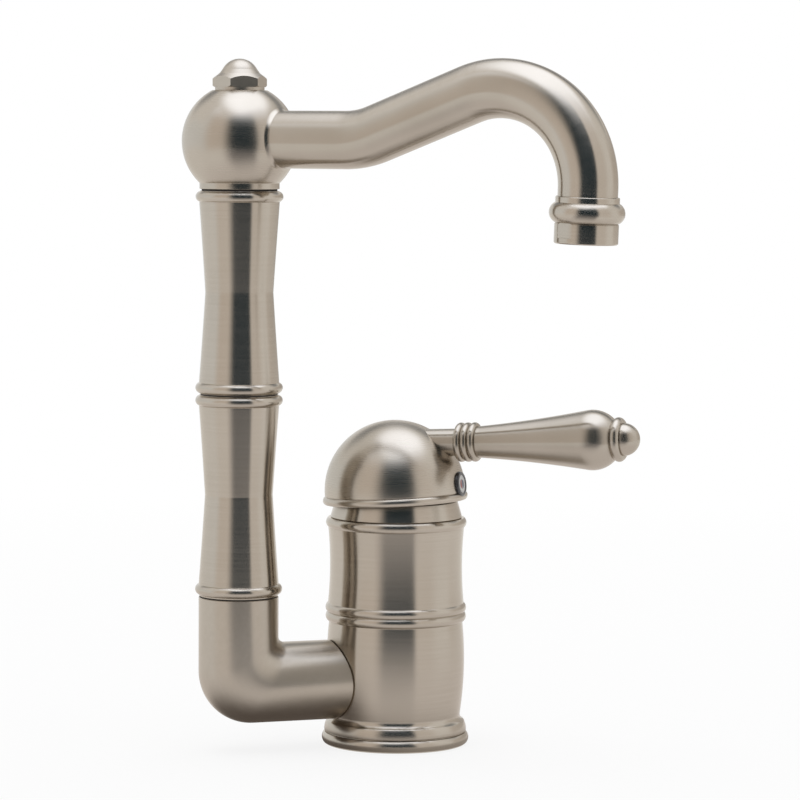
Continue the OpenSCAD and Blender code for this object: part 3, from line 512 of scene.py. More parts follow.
NICKEL_DARK = (0.448, 0.397, 0.330)
NICKEL_LIGHT = (0.493, 0.441, 0.373)
NICKEL_EDGE = (0.94, 0.92, 0.89, 1)
QUARTER_TURN = 0.25


def satin_nickel(
    name, roughness, depth, anisotropy=0.0, around=30.0, lines=4200.0, share=0.35, tone=1.0
):
    """Satin nickel plate with fine brushing round the turning axis and a faint cloudiness.

    Around and lines are the brushing's cycles per metre across and along the axis, share is its
    part in the colour, and depth is its height in metres.
    """
    cloud_scale, cloud_detail, cloud_rough = 40.0, 2.0, 0.5
    brush_detail, brush_rough = 2.0, 0.6
    ripple = 0.015
    material, nodes, links, shader = new_material(name)
    if anisotropy:
        where = nodes.new("ShaderNodeAttribute")
        where.attribute_name = "turned"
        place = where.outputs["Vector"]
    else:
        place = nodes.new("ShaderNodeTexCoord").outputs["Object"]
    stretch = (around, around, lines)
    brushing = noise(nodes, links, 1.0, stretch, brush_detail, brush_rough, place)
    cloud = noise(nodes, links, cloud_scale, (1, 1, 1), cloud_detail, cloud_rough, place)
    grain = nodes.new("ShaderNodeMix")
    grain.inputs["Factor"].default_value = share
    links.new(cloud, grain.inputs["A"])
    links.new(brushing, grain.inputs["B"])
    # Tone scales both colours; below 1 it gives a darker copy of the nickel as painted shade.
    dark, light = ([c * tone for c in colour] for colour in (NICKEL_DARK, NICKEL_LIGHT))
    colour = shade(nodes, links, grain.outputs["Result"], dark, light)
    gloss = spread(nodes, links, brushing, roughness - ripple, roughness + ripple)
    links.new(colour, shader.inputs["Base Color"])
    links.new(gloss, shader.inputs["Roughness"])
    shader.inputs["Metallic"].default_value = 1.0
    shader.inputs["Specular Tint"].default_value = NICKEL_EDGE
    if anisotropy:
        shader.inputs["Anisotropic"].default_value = anisotropy
        shader.inputs["Anisotropic Rotation"].default_value = QUARTER_TURN
        tangent = nodes.new("ShaderNodeTangent")
        tangent.direction_type = "UV_MAP"
        tangent.uv_map = "round"
        links.new(tangent.outputs["Tangent"], shader.inputs["Tangent"])
    bump(nodes, links, brushing, depth, shader)
    return material


def metal(name, dark, light, roughness):
    """Machined metal with a fine grain."""
    grain_scale, ripple, depth = 700.0, 0.06, 1e-5
    material, nodes, links, shader = new_material(name)
    grain = noise(nodes, links, grain_scale, (1, 1, 4))
    gloss = spread(nodes, links, grain, roughness - ripple, roughness + ripple)
    links.new(shade(nodes, links, grain, dark, light), shader.inputs["Base Color"])
    links.new(gloss, shader.inputs["Roughness"])
    shader.inputs["Metallic"].default_value = 1.0
    bump(nodes, links, grain, depth, shader, 0.4)
    return material


def moulded(name, dark, light, roughness, grain_scale=1500.0, depth=2e-5, coat=0.0):
    """Plastic, rubber or ceramic with a fine moulded grain."""
    smoother, rougher, coat_roughness = 0.05, 0.08, 0.08
    material, nodes, links, shader = new_material(name)
    grain = noise(nodes, links, grain_scale)
    gloss = spread(nodes, links, grain, roughness - smoother, roughness + rougher)
    links.new(shade(nodes, links, grain, dark, light), shader.inputs["Base Color"])
    links.new(gloss, shader.inputs["Roughness"])
    shader.inputs["Coat Weight"].default_value = coat
    shader.inputs["Coat Roughness"].default_value = coat_roughness
    bump(nodes, links, grain, depth, shader)
    return material


nickel_turned = satin_nickel("nickel_turned", 0.23, 2.5e-7, 0.90, lines=1900.0, share=0.5)
nickel_round = satin_nickel("nickel_round", 0.28, 3e-8, 0.45, share=0.2)
nickel_ball = satin_nickel("nickel_ball", 0.26, 4e-8, 0.30, share=0.06)
# The handle's nickel is 6 percent darker than the rest, as painted shade.
nickel_handle_shaded = satin_nickel("nickel_handle_shaded", 0.25, 8e-8, 0.90, share=0.12, tone=0.94)
nickel_drawn = satin_nickel("nickel_drawn", 0.23, 4e-8, 0.92, around=60.0, lines=900.0, share=0.15)
nickel_cast = satin_nickel("nickel_cast", 0.32, 1e-7, 0.84, around=450.0, lines=450.0, share=0.5)
nickel_plain = satin_nickel("nickel_plain", 0.37, 2e-7, around=300.0, lines=300.0)
brass = metal("brass", (0.52, 0.38, 0.15), (0.66, 0.50, 0.24), 0.28)
steel = metal("steel", (0.45, 0.45, 0.46), (0.60, 0.60, 0.61), 0.25)
screw_steel = metal("screw_steel", (0.06, 0.06, 0.065), (0.11, 0.11, 0.12), 0.38)
rubber = moulded("rubber", (0.015, 0.015, 0.016), (0.030, 0.030, 0.032), 0.62)
fibre = moulded("fibre", (0.020, 0.016, 0.013), (0.045, 0.036, 0.030), 0.75, 2500.0, 4e-5)
acetal = moulded("acetal", (0.72, 0.71, 0.66), (0.80, 0.79, 0.75), 0.42)
slider_plastic = moulded("slider_plastic", (0.13, 0.17, 0.22), (0.18, 0.22, 0.27), 0.45)
alumina = moulded("alumina", (0.80, 0.79, 0.76), (0.87, 0.86, 0.84), 0.18)
button_black = moulded("button_black", (0.010, 0.010, 0.012), (0.020, 0.020, 0.023), 0.22, coat=0.6)
button_pale = moulded("button_pale", (0.62, 0.62, 0.60), (0.72, 0.72, 0.70), 0.22, coat=0.5)
mark_red = moulded("mark_red", (0.24, 0.020, 0.016), (0.33, 0.035, 0.028), 0.35, coat=0.2)
mark_blue = moulded("mark_blue", (0.026, 0.034, 0.075), (0.036, 0.048, 0.11), 0.35, coat=0.2)
aerator_plastic = moulded("aerator_plastic", (0.060, 0.070, 0.075), (0.090, 0.100, 0.108), 0.4)

SLOT_MATERIALS = {
    "nickel": nickel_plain,
    "brass": brass,
    "steel": steel,
    "screw_steel": screw_steel,
    "rubber": rubber,
    "fibre": fibre,
    "acetal": acetal,
    "slider_plastic": slider_plastic,
    "alumina": alumina,
    "button_black": button_black,
    "button_pale": button_pale,
    "mark_red": mark_red,
    "mark_blue": mark_blue,
    "aerator_plastic": aerator_plastic,
}


def dress_nodes():
    """Gives every CAD node the material of its slot."""
    for sub in frame["record"]["subparts"]:
        node = frame["nodes"][sub["node"]]
        node.data.materials.clear()
        node.data.materials.append(SLOT_MATERIALS[sub["material_slot"]])


# ---------------------------------------------------------------- pieces


def make_flange():
    """The foot ring, which swells out over the deck and leaves a groove under the barrel."""
    rim_top = FLANGE_H - GROOVE_HALF
    outline = (
        [(FLANGE_BORE_R, 0)]
        + bow((FLANGE_FOOT_R, 0), (FLANGE_RIM_R, rim_top), FLANGE_SWELL, 32)
        + [(GROOVE_R, rim_top), (GROOVE_R, FLANGE_H), (FLANGE_BORE_R, FLANGE_H), (FLANGE_BORE_R, 0)]
    )
    lathe("foot_ring", ease(outline, radius=0.2), DECK, "base", "base_flange", nickel_turned)


def make_barrel():
    """The barrel's outside with its cupped top; the ports are cut out of its underside."""
    outline = (
        [(0, 0), (HUB_R, 0), (HUB_R, FLANGE_H)]
        + barrel_outline()
        + [(SPIGOT_R, BODY_H), (SPIGOT_R, SPIGOT_TOP)]
        + [(NUT_BORE_R, SPIGOT_TOP), (NUT_BORE_R, BODY_H), (0, BODY_H)]
    )
    outline = ease(outline, radius=0.18)
    ports = [drill(r, -1, PORT_DEPTH, shift(x, y, 0)) for x, y, r in PORTS]
    lathe("barrel", outline, DECK, "base", "valve_body", nickel_turned, cutters=ports)


def make_neck():
    """The conical ring between the barrel and the dome, with a rounded top edge."""
    top = NECK_FOOT_R - NECK_TAPER
    bore = SPIGOT_R + HAIR
    chamfer_in, chamfer_h, edge_swell = 0.4, 0.35, 0.2
    edge = [(top + 0.1, NECK_TOP - 0.7), (top - 0.6, NECK_TOP)]
    outline = (
        [(bore, BODY_H), (NECK_FOOT_R - chamfer_in, BODY_H), (NECK_FOOT_R, BODY_H + chamfer_h)]
        + bow(*edge, edge_swell, 8)
        + [(NECK_LIP_R, NECK_TOP), (NECK_LIP_R, SPIGOT_TOP), (bore, SPIGOT_TOP), (bore, BODY_H)]
    )
    lathe("neck_cone", ease(outline, radius=0.15), DECK, "base", "neck_collar", nickel_turned)


def make_dome():
    """The dome's shell: hollow inside, with a swelling rim and a fine crease above it."""
    crease_z = RIM_Z + RIM_H
    crease_r = LIP_R + 0.35
    inner_r = DOME_R - DOME_WALL

    def sphere_arc(radius, from_z, n):
        return polar_arc(radius, DOME_Z, math.asin((from_z - DOME_Z) / radius), POLE, n)

    neck_z = RIM_Z + LIP_H + LIP_R - inner_r
    outline = (
        sphere_arc(inner_r, neck_z, 48)[::-1]
        + [(LIP_R, RIM_Z + LIP_H), (LIP_R, RIM_Z), (RIM_R - CREASE, RIM_Z)]
        + bow((RIM_R + CREASE, RIM_Z), (RIM_R, crease_z - 2 * CREASE), RIM_SWELL, 24)
        + [(crease_r, crease_z - CREASE), (crease_r, crease_z + CREASE)]
        + sphere_arc(DOME_R, crease_z + 0.12, 96)
    )
    outline = ease(outline, radius=0.15)
    lathe("dome", outline, DOME, "lever", "lever_dome", nickel_round, sides=192)


def make_handle():
    """The five turned pieces that stand along the lever."""

    def turn_piece(name, node, outline, sides=96):
        lathe(name, outline, LEVER, "lever", node, nickel_handle_shaded, sides)

    stem = [(0, STEM_START), (STEM_R, STEM_START), (STEM_R, STEM_END), (0, STEM_END)]
    turn_piece("stem", "lever_stem", stem)

    beads = [(0, STEM_END)]
    for i in range(3):
        foot = (COLLAR_NECK_R, STEM_END + i * COLLAR_BEAD_H)
        top = (COLLAR_NECK_R, foot[1] + COLLAR_BEAD_H)
        beads += bow(foot, top, COLLAR_R - COLLAR_NECK_R, 20)
    beads.append((0, GRIP_AT))
    turn_piece("beaded_collar", "handle_collar", ease(beads, radius=0.1, sharp=60))

    blend_a = math.radians(GRIP_BLEND)
    blend = (GRIP_HEAD_R * math.cos(blend_a), GRIP_HEAD_AT - GRIP_HEAD_R * math.sin(blend_a))
    last = math.asin((END_RING_AT - GRIP_HEAD_AT) / GRIP_HEAD_R)
    grip = (
        [(0, GRIP_AT), (GRIP_NECK_R, GRIP_AT)]
        + bow((GRIP_NECK_R, GRIP_AT + GRIP_NECK_H), blend, -GRIP_HOLLOW, 48)
        + polar_arc(GRIP_HEAD_R, GRIP_HEAD_AT, -blend_a, last, 40)[1:]
        + [(0, END_RING_AT)]
    )
    turn_piece("grip", "handle_grip", ease(grip, radius=0.3), sides=128)

    ring_foot, ring_top = (END_RING_R - 0.9, END_RING_AT), (END_RING_R - 1.1, KNOB_AT)
    ring = [(0, END_RING_AT)] + bow(ring_foot, ring_top, END_RING_SWELL, 24) + [(0, KNOB_AT)]
    turn_piece("end_ring", "handle_end_ring", ease(ring, radius=0.2))

    knob = [(0, KNOB_AT)] + polar_arc(KNOB_R, KNOB_AT, 0, POLE, 32)
    turn_piece("knob", "handle_knob", ease(knob, radius=0.2))


def make_columns():
    """The column's two lengths, one on the other."""
    for name, node, z0, foot_inset in (
        ("column_low", "lower_column", LOWER_Z, LOW_BEAD_INSET),
        ("column_high", "upper_column", UPPER_Z, BEAD_INSET),
    ):
        outline = ease(column_outline(z0, foot_inset), radius=0.15)
        lathe(name, outline, COLUMN, "base", node, nickel_turned)


def make_ball():
    """The swivel ball with its neck, and the socket that the spout's tube sits in."""
    neck_top = BALL_FOOT_Z + BALL_NECK_H
    low = -math.acos(BALL_NECK_R / BALL_R)
    high = math.asin((BALL_FACE_Z - BALL_Z) / BALL_R)
    outline = (
        [(BALL_BORE_R, BALL_FOOT_Z), (BALL_NECK_R, BALL_FOOT_Z), (BALL_NECK_R, neck_top)]
        + polar_arc(BALL_R, BALL_Z, low, high, 120)
        + [(BALL_BORE_R, BALL_FACE_Z), (BALL_BORE_R, BALL_FOOT_Z)]
    )
    outline = ease(outline, radius=0.2)
    socket = SPOUT @ shift(0, 0, TUBE_Z) @ turn(90, "Y")
    tools = [drill(SOCKET_R, SOCKET_START, BALL_R + 2, socket, sides=128)]
    lathe("ball", outline, COLUMN, "spout", "spout_ball", nickel_ball, sides=192, cutters=tools)


def make_braze():
    """The small hollow fillet where the tube is brazed into the ball."""
    sides, steps = 160, 6
    offset = TUBE_Z - BALL_Z
    foot_r, corner_r, toe_r = TUBE_R + BRAZE, TUBE_R + 0.25, TUBE_R + 0.03
    foot_up, corner_up = 0.02, 0.15
    foot_sunk, toe_sunk = (0.1, 0.8), (0.3, 0.1)

    def on_ball(radius, t):
        """How far along the tube the ball's surface lies, at a place beside the tube's middle."""
        high, side = offset + radius * math.cos(t), radius * math.sin(t)
        return math.sqrt(BALL_R**2 - high**2 - side**2)

    def section(t):
        """Points of (radius, distance) from the ball to the tube, with both ends sunk in them."""
        foot = (foot_r, on_ball(foot_r, t) + foot_up)
        toe = (toe_r, on_ball(TUBE_R, t) + BRAZE)
        corner = (corner_r, on_ball(corner_r, t) + corner_up)
        start = (foot[0] - foot_sunk[0], foot[1] - foot_sunk[1])
        end = (toe[0] - toe_sunk[0], toe[1] - toe_sunk[1])
        curve = []
        for k in range(steps + 1):
            q = k / steps
            a, b, c = (1 - q) ** 2, 2 * q * (1 - q), q * q
            curve.append([a * f + b * m + c * e for f, m, e in zip(foot, corner, toe)])
        return [start, *curve, end]

    around = [2 * math.pi * i / sides for i in range(sides)]
    rings, turned = [], []
    for level in zip(*(section(t) for t in around)):
        places = [(r * math.cos(t), r * math.sin(t), x) for t, (r, x) in zip(around, level)]
        rings.append([(x, w, TUBE_Z + c) for c, w, x in places])
        turned += places
    loft("braze", rings, turned, SPOUT, "spout", None, nickel_turned, sharp=50)


def make_elbow():
    """Leg, bend and arm as one skin, whose bend is wide outside and tight inside the corner."""
    sides, steps = 144, 32
    around = [2 * math.pi * i / sides for i in range(sides)]

    def bend_ring(a):
        ring = []
        for t in around:
            share = (1 + math.cos(t)) / 2
            bend = ELBOW_INNER_R + (ELBOW_OUTER_R - ELBOW_INNER_R) * share**ELBOW_BEND_POWER
            x = -COLUMN_AT - ARM_R * math.cos(t) + bend * (1 + math.cos(a))
            z = ARM_Z - ARM_R * math.cos(t) + bend * (1 + math.sin(a))
            ring.append((x, ARM_R * math.sin(t), z))
        return ring

    def leg_ring(z, radius):
        return [(-COLUMN_AT - radius * math.cos(t), radius * math.sin(t), z) for t in around]

    bend_z = ARM_Z - ARM_R + ELBOW_OUTER_R
    bend_length = math.pi / 4 * (ELBOW_OUTER_R - ELBOW_INNER_R)
    leg_length = ELBOW_TOP - bend_z
    edge, lip = 0.2, 0.5
    rings = [
        leg_ring(ELBOW_TOP, ARM_R - lip),
        leg_ring(ELBOW_TOP, ARM_R - edge),
        leg_ring(ELBOW_TOP - edge, ARM_R),
    ]
    along = [-leg_length, -leg_length, edge - leg_length]
    for k in range(steps + 1):
        rings.append(bend_ring(math.pi + math.pi / 2 * k / steps))
        along.append(bend_length * k / steps)
    mouth = []
    for t in around:
        y, z = ARM_R * math.sin(t), ARM_Z - ARM_R * math.cos(t)
        reach = barrel_radius(z) + SEAM
        mouth.append((-math.sqrt(reach * reach - y * y), y, z))
    mouth_edge, mouth_scale = 0.25, 0.985
    rings.append([(x - mouth_edge, y, z) for x, y, z in mouth])
    rings.append([(x, y * mouth_scale, ARM_Z + (z - ARM_Z) * mouth_scale) for x, y, z in mouth])
    mouth_at = bend_length + COLUMN_AT - ARM_R - BARREL_R
    along += [mouth_at, mouth_at]
    turned = [(ARM_R * math.cos(t), ARM_R * math.sin(t), s) for s in along for t in around]
    loft("elbow_skin", rings, turned, DECK, "base", "elbow", nickel_cast, sharp=40)


def spout_path():
    """Points and headings along the spout's middle, in its own plane."""
    path = [((TUBE_START, TUBE_Z), 0.0), ((RUN_OUT, TUBE_Z), 0.0)]

    def bend(heading, end_heading, radius, n):
        (x, z), _ = path[-1]
        side = 1 if end_heading > heading else -1
        h0 = math.radians(heading)
        cx, cz = x - side * radius * math.sin(h0), z + side * radius * math.cos(h0)
        for i in range(1, n + 1):
            h = math.radians(heading + (end_heading - heading) * i / n)
            point = (cx + side * radius * math.sin(h), cz - side * radius * math.cos(h))
            path.append((point, math.degrees(h)))

    bend(0, RISE, RISE_R, 20)
    (x, z), _ = path[-1]
    a = math.radians(RISE)
    path.append(((x + RUN_UP * math.cos(a), z + RUN_UP * math.sin(a)), RISE))
    bend(RISE, RISE - CREST_TURN, CREST_R, 36)
    bend(RISE - CREST_TURN, -NOSE_DOWN, NOSE_R, 60)
    return path


def make_spout():
    """The bent tube, the nozzle's collar at its end and the shell of the aerator under that."""
    sides = 128
    around = [-2 * math.pi * i / sides for i in range(sides)]
    section = [(TUBE_R * math.cos(t), TUBE_R * math.sin(t)) for t in around]
    path = spout_path()
    (end_x, end_z), heading = path[-1]
    a = math.radians(heading)
    for reach in (NOZZLE_STEP, TUBE_END):
        path.append(((end_x + reach * math.cos(a), end_z + reach * math.sin(a)), heading))
    rings, turned = [], []
    gone, last = 0.0, path[0][0]
    for (x, z), h in path:
        gone += math.dist((x, z), last)
        last = (x, z)
        h = math.radians(h)
        turned += [(c, w, gone) for c, w in section]
        rings.append([(x - c * math.sin(h), w, z + c * math.cos(h)) for c, w in section])
    loft("swan_neck", rings, turned, SPOUT, "spout", "spout_tube", nickel_drawn, sharp=50)

    nozzle = SPOUT @ shift(end_x, 0, end_z) @ turn(90 + NOSE_DOWN, "Y")
    outline = (
        [(NOZZLE_BORE_R, NOZZLE_STEP), (NOZZLE_R - NOZZLE_EDGE, NOZZLE_STEP)]
        + [(NOZZLE_R, NOZZLE_STEP + NOZZLE_EDGE), (NOZZLE_R, NOZZLE_BEAD)]
        + bow((NOZZLE_R, NOZZLE_BEAD + HAIR), (NOZZLE_R, OUTLET - HAIR), NOZZLE_BEAD_SWELL, 40)
        + [(NOZZLE_THREAD_R, OUTLET), (NOZZLE_THREAD_R, THREAD_AT)]
        + [(NOZZLE_BORE_R, THREAD_AT), (NOZZLE_BORE_R, NOZZLE_STEP)]
    )
    outline = ease(outline, radius=0.15)
    lathe("nozzle_bead", outline, nozzle, "spout", "nozzle_collar", nickel_turned, sides=128)

    neck_r = NOZZLE_THREAD_R - HAIR
    outline = [
        (neck_r, THREAD_AT),
        (neck_r, OUTLET),
        (NOZZLE_R - OUTLET_STEP, OUTLET),
        (NOZZLE_R - OUTLET_STEP, OUTLET + OUTLET_STEP),
        (NOZZLE_R, OUTLET + OUTLET_EDGE),
        (NOZZLE_R, OUTLET_END - OUTLET_EDGE),
        (NOZZLE_R - OUTLET_EDGE, OUTLET_END),
        (OUTLET_MOUTH_R, OUTLET_END),
        (OUTLET_MOUTH_R, OUTLET_END - OUTLET_LIP_H),
        (AERATOR_R, OUTLET_END - OUTLET_LIP_H),
        (AERATOR_R, THREAD_AT),
        (neck_r, THREAD_AT),
    ]
    outline = ease(outline, radius=0.12)
    flats = [block(FLAT_IN, FLAT_H, nozzle @ turn(FLAT_AZ + side, "Z")) for side in (0, 180)]
    place = (nozzle, "spout", "aerator_housing")
    lathe("outlet_shell", outline, *place, nickel_turned, sharp=24, cutters=flats)


# ---------------------------------------------------------------- stage, painted reflection cards, lights and camera


def seen_ray(nodes, links):
    """1 for rays from the camera and for reflected or refracted rays."""
    path = nodes.new("ShaderNodeLightPath")
    first = nodes.new("ShaderNodeMath")
    first.operation = "MAXIMUM"
    links.new(path.outputs["Is Camera Ray"], first.inputs[0])
    links.new(path.outputs["Is Glossy Ray"], first.inputs[1])
    both = nodes.new("ShaderNodeMath")
    both.operation = "MAXIMUM"
    links.new(first.outputs[0], both.inputs[0])
    links.new(path.outputs["Is Transmission Ray"], both.inputs[1])
    return both.outputs[0]


WORLD_LIGHT = 0.62
FLOOR_SIZE = 12
FLOOR_WHITE = 0.93
FLOOR_Z = -0.0002


def make_world():
    """A white room, which lights the object less than it shows."""
    world = bpy.data.worlds.new("studio")
    world.use_nodes = True
    nodes, links = world.node_tree.nodes, world.node_tree.links
    background = nodes["Background"]
    background.inputs["Color"].default_value = (1, 1, 1, 1)
    strength = nodes.new("ShaderNodeMapRange")
    strength.inputs["To Min"].default_value = WORLD_LIGHT
    strength.inputs["To Max"].default_value = 1.0
    links.new(seen_ray(nodes, links), strength.inputs["Value"])
    links.new(strength.outputs["Result"], background.inputs["Strength"])
    bpy.context.scene.world = world


def make_floor():
    """A pale floor that keeps the object's shadow, and glows into the white of the room far out."""
    near, far, near_glow, far_glow = 0.15, 0.9, 0.84, 1.0
    bpy.ops.mesh.primitive_plane_add(size=FLOOR_SIZE, location=(0, 0, FLOOR_Z))
    floor = bpy.context.object
    floor.name = "floor"
    material, nodes, links, shader = new_material("floor_white")
    shader.inputs["Base Color"].default_value = (FLOOR_WHITE, FLOOR_WHITE, FLOOR_WHITE, 1)
    shader.inputs["Roughness"].default_value = 0.9
    shader.inputs["Specular IOR Level"].default_value = 0.0
    glow = nodes.new("ShaderNodeEmission")
    glow.inputs["Color"].default_value = (1, 1, 1, 1)
    mix = nodes.new("ShaderNodeMixShader")
    middle = nodes.new("ShaderNodeVectorMath")
    middle.operation = "LENGTH"
    links.new(nodes.new("ShaderNodeTexCoord").outputs["Object"], middle.inputs[0])
    part = nodes.new("ShaderNodeMath")
    part.operation = "MULTIPLY"
    share = spread(nodes, links, middle.outputs["Value"], near_glow, far_glow, near, far)
    links.new(share, part.inputs[1])
    links.new(seen_ray(nodes, links), part.inputs[0])
    links.new(part.outputs[0], mix.inputs["Fac"])
    links.new(shader.outputs["BSDF"], mix.inputs[1])
    links.new(glow.outputs["Emission"], mix.inputs[2])
    links.new(mix.outputs["Shader"], nodes["Material Output"].inputs["Surface"])
    floor.data.materials.append(material)


def smooth(value, low, high):
    """0 below low, 1 above high and a soft step between, also where high is the lower one."""
    t = min(1.0, max(0.0, (value - low) / (high - low)))
    return t * t * (3 - 2 * t)


def between(a, b, t):
    """A colour on the way from one to another."""
    return tuple(p + (q - p) * t for p, q in zip(a, b))


def make_card(name, place, glow, columns=48, rows=24):
    """A glowing card that only reflections see, which paints a reflection or highlight. Place and
    glow give a point and a colour by shares.
    """
    points, colours, faces = [], [], []
    for j in range(rows + 1):
        for i in range(columns + 1):
            points.append(place(i / columns, j / rows))
            colours.append((*glow(i / columns, j / rows), 1.0))
    for j in range(rows):
        for i in range(columns):
            low = j * (columns + 1) + i
            faces.append((low, low + 1, low + columns + 2, low + columns + 1))
    mesh = bpy.data.meshes.new(name)
    mesh.from_pydata(points, [], faces)
    tint = mesh.color_attributes.new("glow", "FLOAT_COLOR", "POINT")
    tint.data.foreach_set("color", [c for colour in colours for c in colour])
    material, nodes, links, shader = new_material(name)
    shader.inputs["Base Color"].default_value = (0, 0, 0, 1)
    shader.inputs["Specular IOR Level"].default_value = 0.0
    shader.inputs["Roughness"].default_value = 1.0
    shader.inputs["Emission Strength"].default_value = 1.0
    where = nodes.new("ShaderNodeAttribute")
    where.attribute_name = "glow"
    links.new(where.outputs["Color"], shader.inputs["Emission Color"])
    mesh.materials.append(material)
    card = bpy.data.objects.new(name, mesh)
    bpy.context.scene.collection.objects.link(card)
    card.visible_camera = False
    card.visible_diffuse = False
    card.visible_shadow = False


def around_object(azimuth, distance, height):
    """A point in metres, at an azimuth from the camera's own, where 180 is behind the object."""
    a = math.radians(CAMERA_AZ + azimuth)
    return (distance * math.sin(a), -distance * math.cos(a), height)


# Colours of the painted reflections on the cards: the room's white, a cool white, and the floor as
# the cards paint it, greyer than the floor itself.
SOFT_WHITE = (1.0, 1.0, 1.0)
COOL_WHITE = (0.96, 1.0, 1.04)
FLOOR_REFLECTION = (0.90, 0.87, 0.87)


def make_front_card():
    """Painted reflection of the room behind the camera, on a glowing card that only reflections
    see: a dark patch between two walls, under a ceiling that glows as a painted highlight.
    """
    left, right, steepness, object_z = -80.0, 78.0, 2.2, 0.15
    # Colours of the painted reflection: the dark patch, the two walls, and the ceiling's painted
    # highlight, brighter than white.
    dark, left_wall, right_wall = (0.0, 0.018, 0.030), (0.84, 0.775, 0.725), (0.87, 0.83, 0.80)
    ceiling = (1.5, 1.6, 1.8)
    nearer, nearer_from, nearer_over = 0.613, 38, 75
    left_edge, left_far = (-15.0, -38.0), (-58.0, left)
    right_edge, right_far = (29.0, 37.0), (56.0, right)
    ceiling_from, ceiling_full = 39.0, 62.0

    def distance(azimuth):
        """The card comes nearer on its right."""
        share = min(1.0, max(0.0, (azimuth + nearer_from) / nearer_over))
        return 1 / (1 + nearer * share)

    def place(u, v):
        azimuth = left + (right - left) * u
        return around_object(azimuth, distance(azimuth), steepness * v * distance(azimuth))

    def glow(u, v):
        azimuth = left + (right - left) * u
        height = steepness * v * distance(azimuth) - object_z
        elevation = math.degrees(math.atan2(height, distance(azimuth)))
        if azimuth < 0:
            tone = between(dark, left_wall, smooth(azimuth, *left_edge))
            tone = between(tone, COOL_WHITE, smooth(azimuth, *left_far))
        else:
            tone = between(dark, right_wall, smooth(azimuth, *right_edge))
            tone = between(tone, SOFT_WHITE, smooth(azimuth, *right_far))
        return between(tone, ceiling, smooth(elevation, ceiling_from, ceiling_full))

    make_card("front_reflection_card", place, glow, columns=96)


def make_floor_cards():
    """The floor as the metal shows it, on glowing cards that only reflections see: painted shade
    darkens it to the front, and painted shadow darkens it close round the foot and under the arm.
    """
    left, right, near, far = -36.0, 33.0, 0.12, 0.80
    front_z, round_z = 0.0008, 0.0005
    inner, reach = 0.005, 1.6
    arm_start, arm_end = -0.068, -0.030
    # Painted shade: the floor's darker tone far out in front. Painted shadow: its tones close round
    # the foot and under the arm.
    far_front_shade = (0.25, 0.245, 0.255)
    near_foot_shadow, under_arm_shadow = (0.45, 0.42, 0.40), (0.16, 0.14, 0.13)
    left_clear, right_clear, dimming = (-16.0, left), (26.0, right), (0.10, 0.46)
    whitening, foot_shade, arm_shade = (0.18, 0.45), (0.025, 0.070), (0.008, 0.050)

    def front_place(u, v):
        return around_object(left + (right - left) * u, near + (far - near) * v, front_z)

    def front_glow(u, v):
        azimuth = left + (right - left) * u
        clear = max(smooth(azimuth, *left_clear), smooth(azimuth, *right_clear))
        # Painted shade, darkening the floor further out in front.
        dim = smooth(near + (far - near) * v, *dimming)
        return between(between(FLOOR_REFLECTION, far_front_shade, dim), FLOOR_REFLECTION, clear)

    make_card("front_floor_shade_card", front_place, front_glow)

    def round_place(u, v):
        return around_object(360 * u, inner + reach * v**3, round_z)

    def round_glow(u, v):
        x, y, _ = round_place(u, v)
        reflected_floor = between(FLOOR_REFLECTION, SOFT_WHITE, smooth(math.hypot(x, y), *whitening))
        # Painted shadow close round the foot, then under the arm.
        reflected_floor = between(near_foot_shadow, reflected_floor, smooth(math.hypot(x, y), *foot_shade))
        gap = math.hypot(x - min(arm_end, max(arm_start, x)), y)
        return between(under_arm_shadow, reflected_floor, smooth(gap, *arm_shade))

    make_card("round_floor_shadow_card", round_place, round_glow, columns=96, rows=64)


def upright(start, sweep, distance, low, height):
    """The places of an upright card that is curved round the object."""

    def place(u, v):
        return around_object(start + sweep * u, distance, low + height * v)

    return place


def make_back_cards():
    """Painted reflections on glowing cards that only reflections see: a grey strip high behind, a
    darker wall at the back right and a cool one at the left.
    """
    strip_grey = (0.34, 0.36, 0.39)
    wall_start, wall_end = (0.84, 0.79, 0.75), (0.50, 0.48, 0.46)

    def strip_glow(u, v):
        edge = max(smooth(abs(u - 0.5), 0.25, 0.5), smooth(abs(v - 0.5), 0.15, 0.5))
        return between(strip_grey, SOFT_WHITE, edge)

    def wall_glow(u, v):
        edge = max(smooth(abs(u - 0.55), 0.35, 0.55), smooth(v, 0.6, 1.0))
        return between(between(wall_start, wall_end, u), SOFT_WHITE, edge)

    def side_glow(u, v):
        return between(COOL_WHITE, SOFT_WHITE, max(smooth(u, 0.2, 0.0), smooth(v, 0.7, 1.0)))

    make_card("back_strip_reflection", upright(110, 130, 1.7, 0.70, 1.35), strip_glow)
    make_card("back_wall_reflection", upright(95, 82, 1.75, 0, 1.1), wall_glow)
    make_card("left_side_reflection", upright(-180, 100, 1.9, 0, 1.3), side_glow)


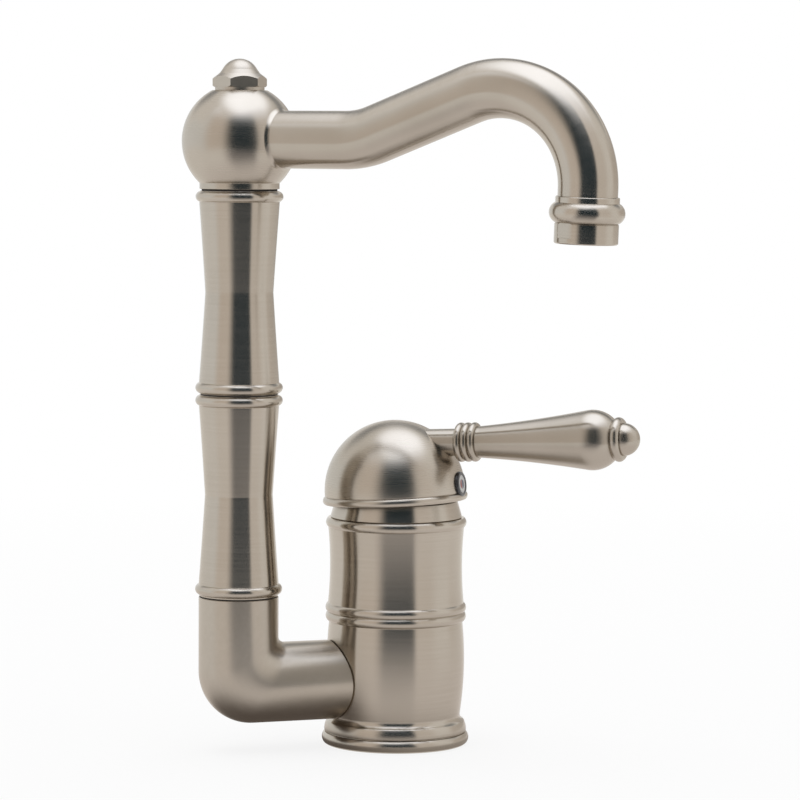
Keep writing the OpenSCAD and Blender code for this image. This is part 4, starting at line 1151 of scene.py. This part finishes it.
def make_top_card():
    """Painted highlight of the soft box overhead: a glowing card that only reflections see, fading
    into the white of the room.
    """
    # The painted highlight's brightest colour, brighter than white.
    highlight_peak = (2.10, 2.26, 2.58)
    height, half_width, half_depth = 1.3, 0.86, 1.05
    middle = (0.16, -0.05)
    fade_from, fade_to = 0.55, 1.0

    def place(u, v):
        right = middle[0] + half_width * (2 * u - 1)
        back = middle[1] + half_depth * (2 * v - 1)
        a = math.radians(CAMERA_AZ)
        x = right * math.cos(a) - back * math.sin(a)
        y = right * math.sin(a) + back * math.cos(a)
        return (x, y, height)

    def glow(u, v):
        out = math.hypot(2 * u - 1, 2 * v - 1)
        return between(highlight_peak, SOFT_WHITE, smooth(out, fade_from, fade_to))

    make_card("top_highlight_card", place, glow, rows=48)


def make_lamp(name, at, aim, size, power, colour):
    """A rectangular lamp that no reflection shows."""
    light = bpy.data.lights.new(name, "AREA")
    light.shape = "RECTANGLE"
    light.size, light.size_y = size
    light.energy = power
    light.color = colour
    lamp = bpy.data.objects.new(name, light)
    lamp.location = at
    lamp.rotation_euler = (Vector(aim) - Vector(at)).to_track_quat("-Z", "Y").to_euler()
    lamp.visible_glossy = False
    bpy.context.scene.collection.objects.link(lamp)


def make_camera():
    """The photograph's camera. Its roll turns its right and up about its own axis."""
    az, el, roll = (math.radians(v) for v in (CAMERA_AZ, CAMERA_EL, CAMERA_ROLL))
    back = Vector((math.sin(az) * math.cos(el), -math.cos(az) * math.cos(el), math.sin(el)))
    right = Vector((math.cos(az), math.sin(az), 0))
    up = back.cross(right)
    x = math.cos(roll) * right + math.sin(roll) * up
    y = -math.sin(roll) * right + math.cos(roll) * up
    data = bpy.data.cameras.new("camera")
    data.lens = LENS
    data.sensor_width = SENSOR
    data.clip_end = VIEW_DEPTH
    camera = bpy.data.objects.new("camera", data)
    bpy.context.scene.collection.objects.link(camera)
    turned = Matrix((x, y, back)).transposed().to_4x4()
    camera.matrix_world = Matrix.Translation(Vector(CAMERA_AT) * MM) @ turned
    bpy.context.scene.camera = camera


make_camera()
dress_nodes()
make_flange()
make_barrel()
make_neck()
make_dome()
make_handle()
make_columns()
make_ball()
make_braze()
make_elbow()
make_spout()

make_world()
make_floor()
make_front_card()
make_floor_cards()
make_back_cards()
make_top_card()
make_lamp(
    "top_light",
    at=(0.02, 0.05, 1.25),
    aim=(0, 0, 0.15),
    size=(1.32, 1.32),
    power=7.5,
    colour=(0.97, 0.985, 1.0),
)

bpy.context.scene.view_settings.view_transform = "Standard"
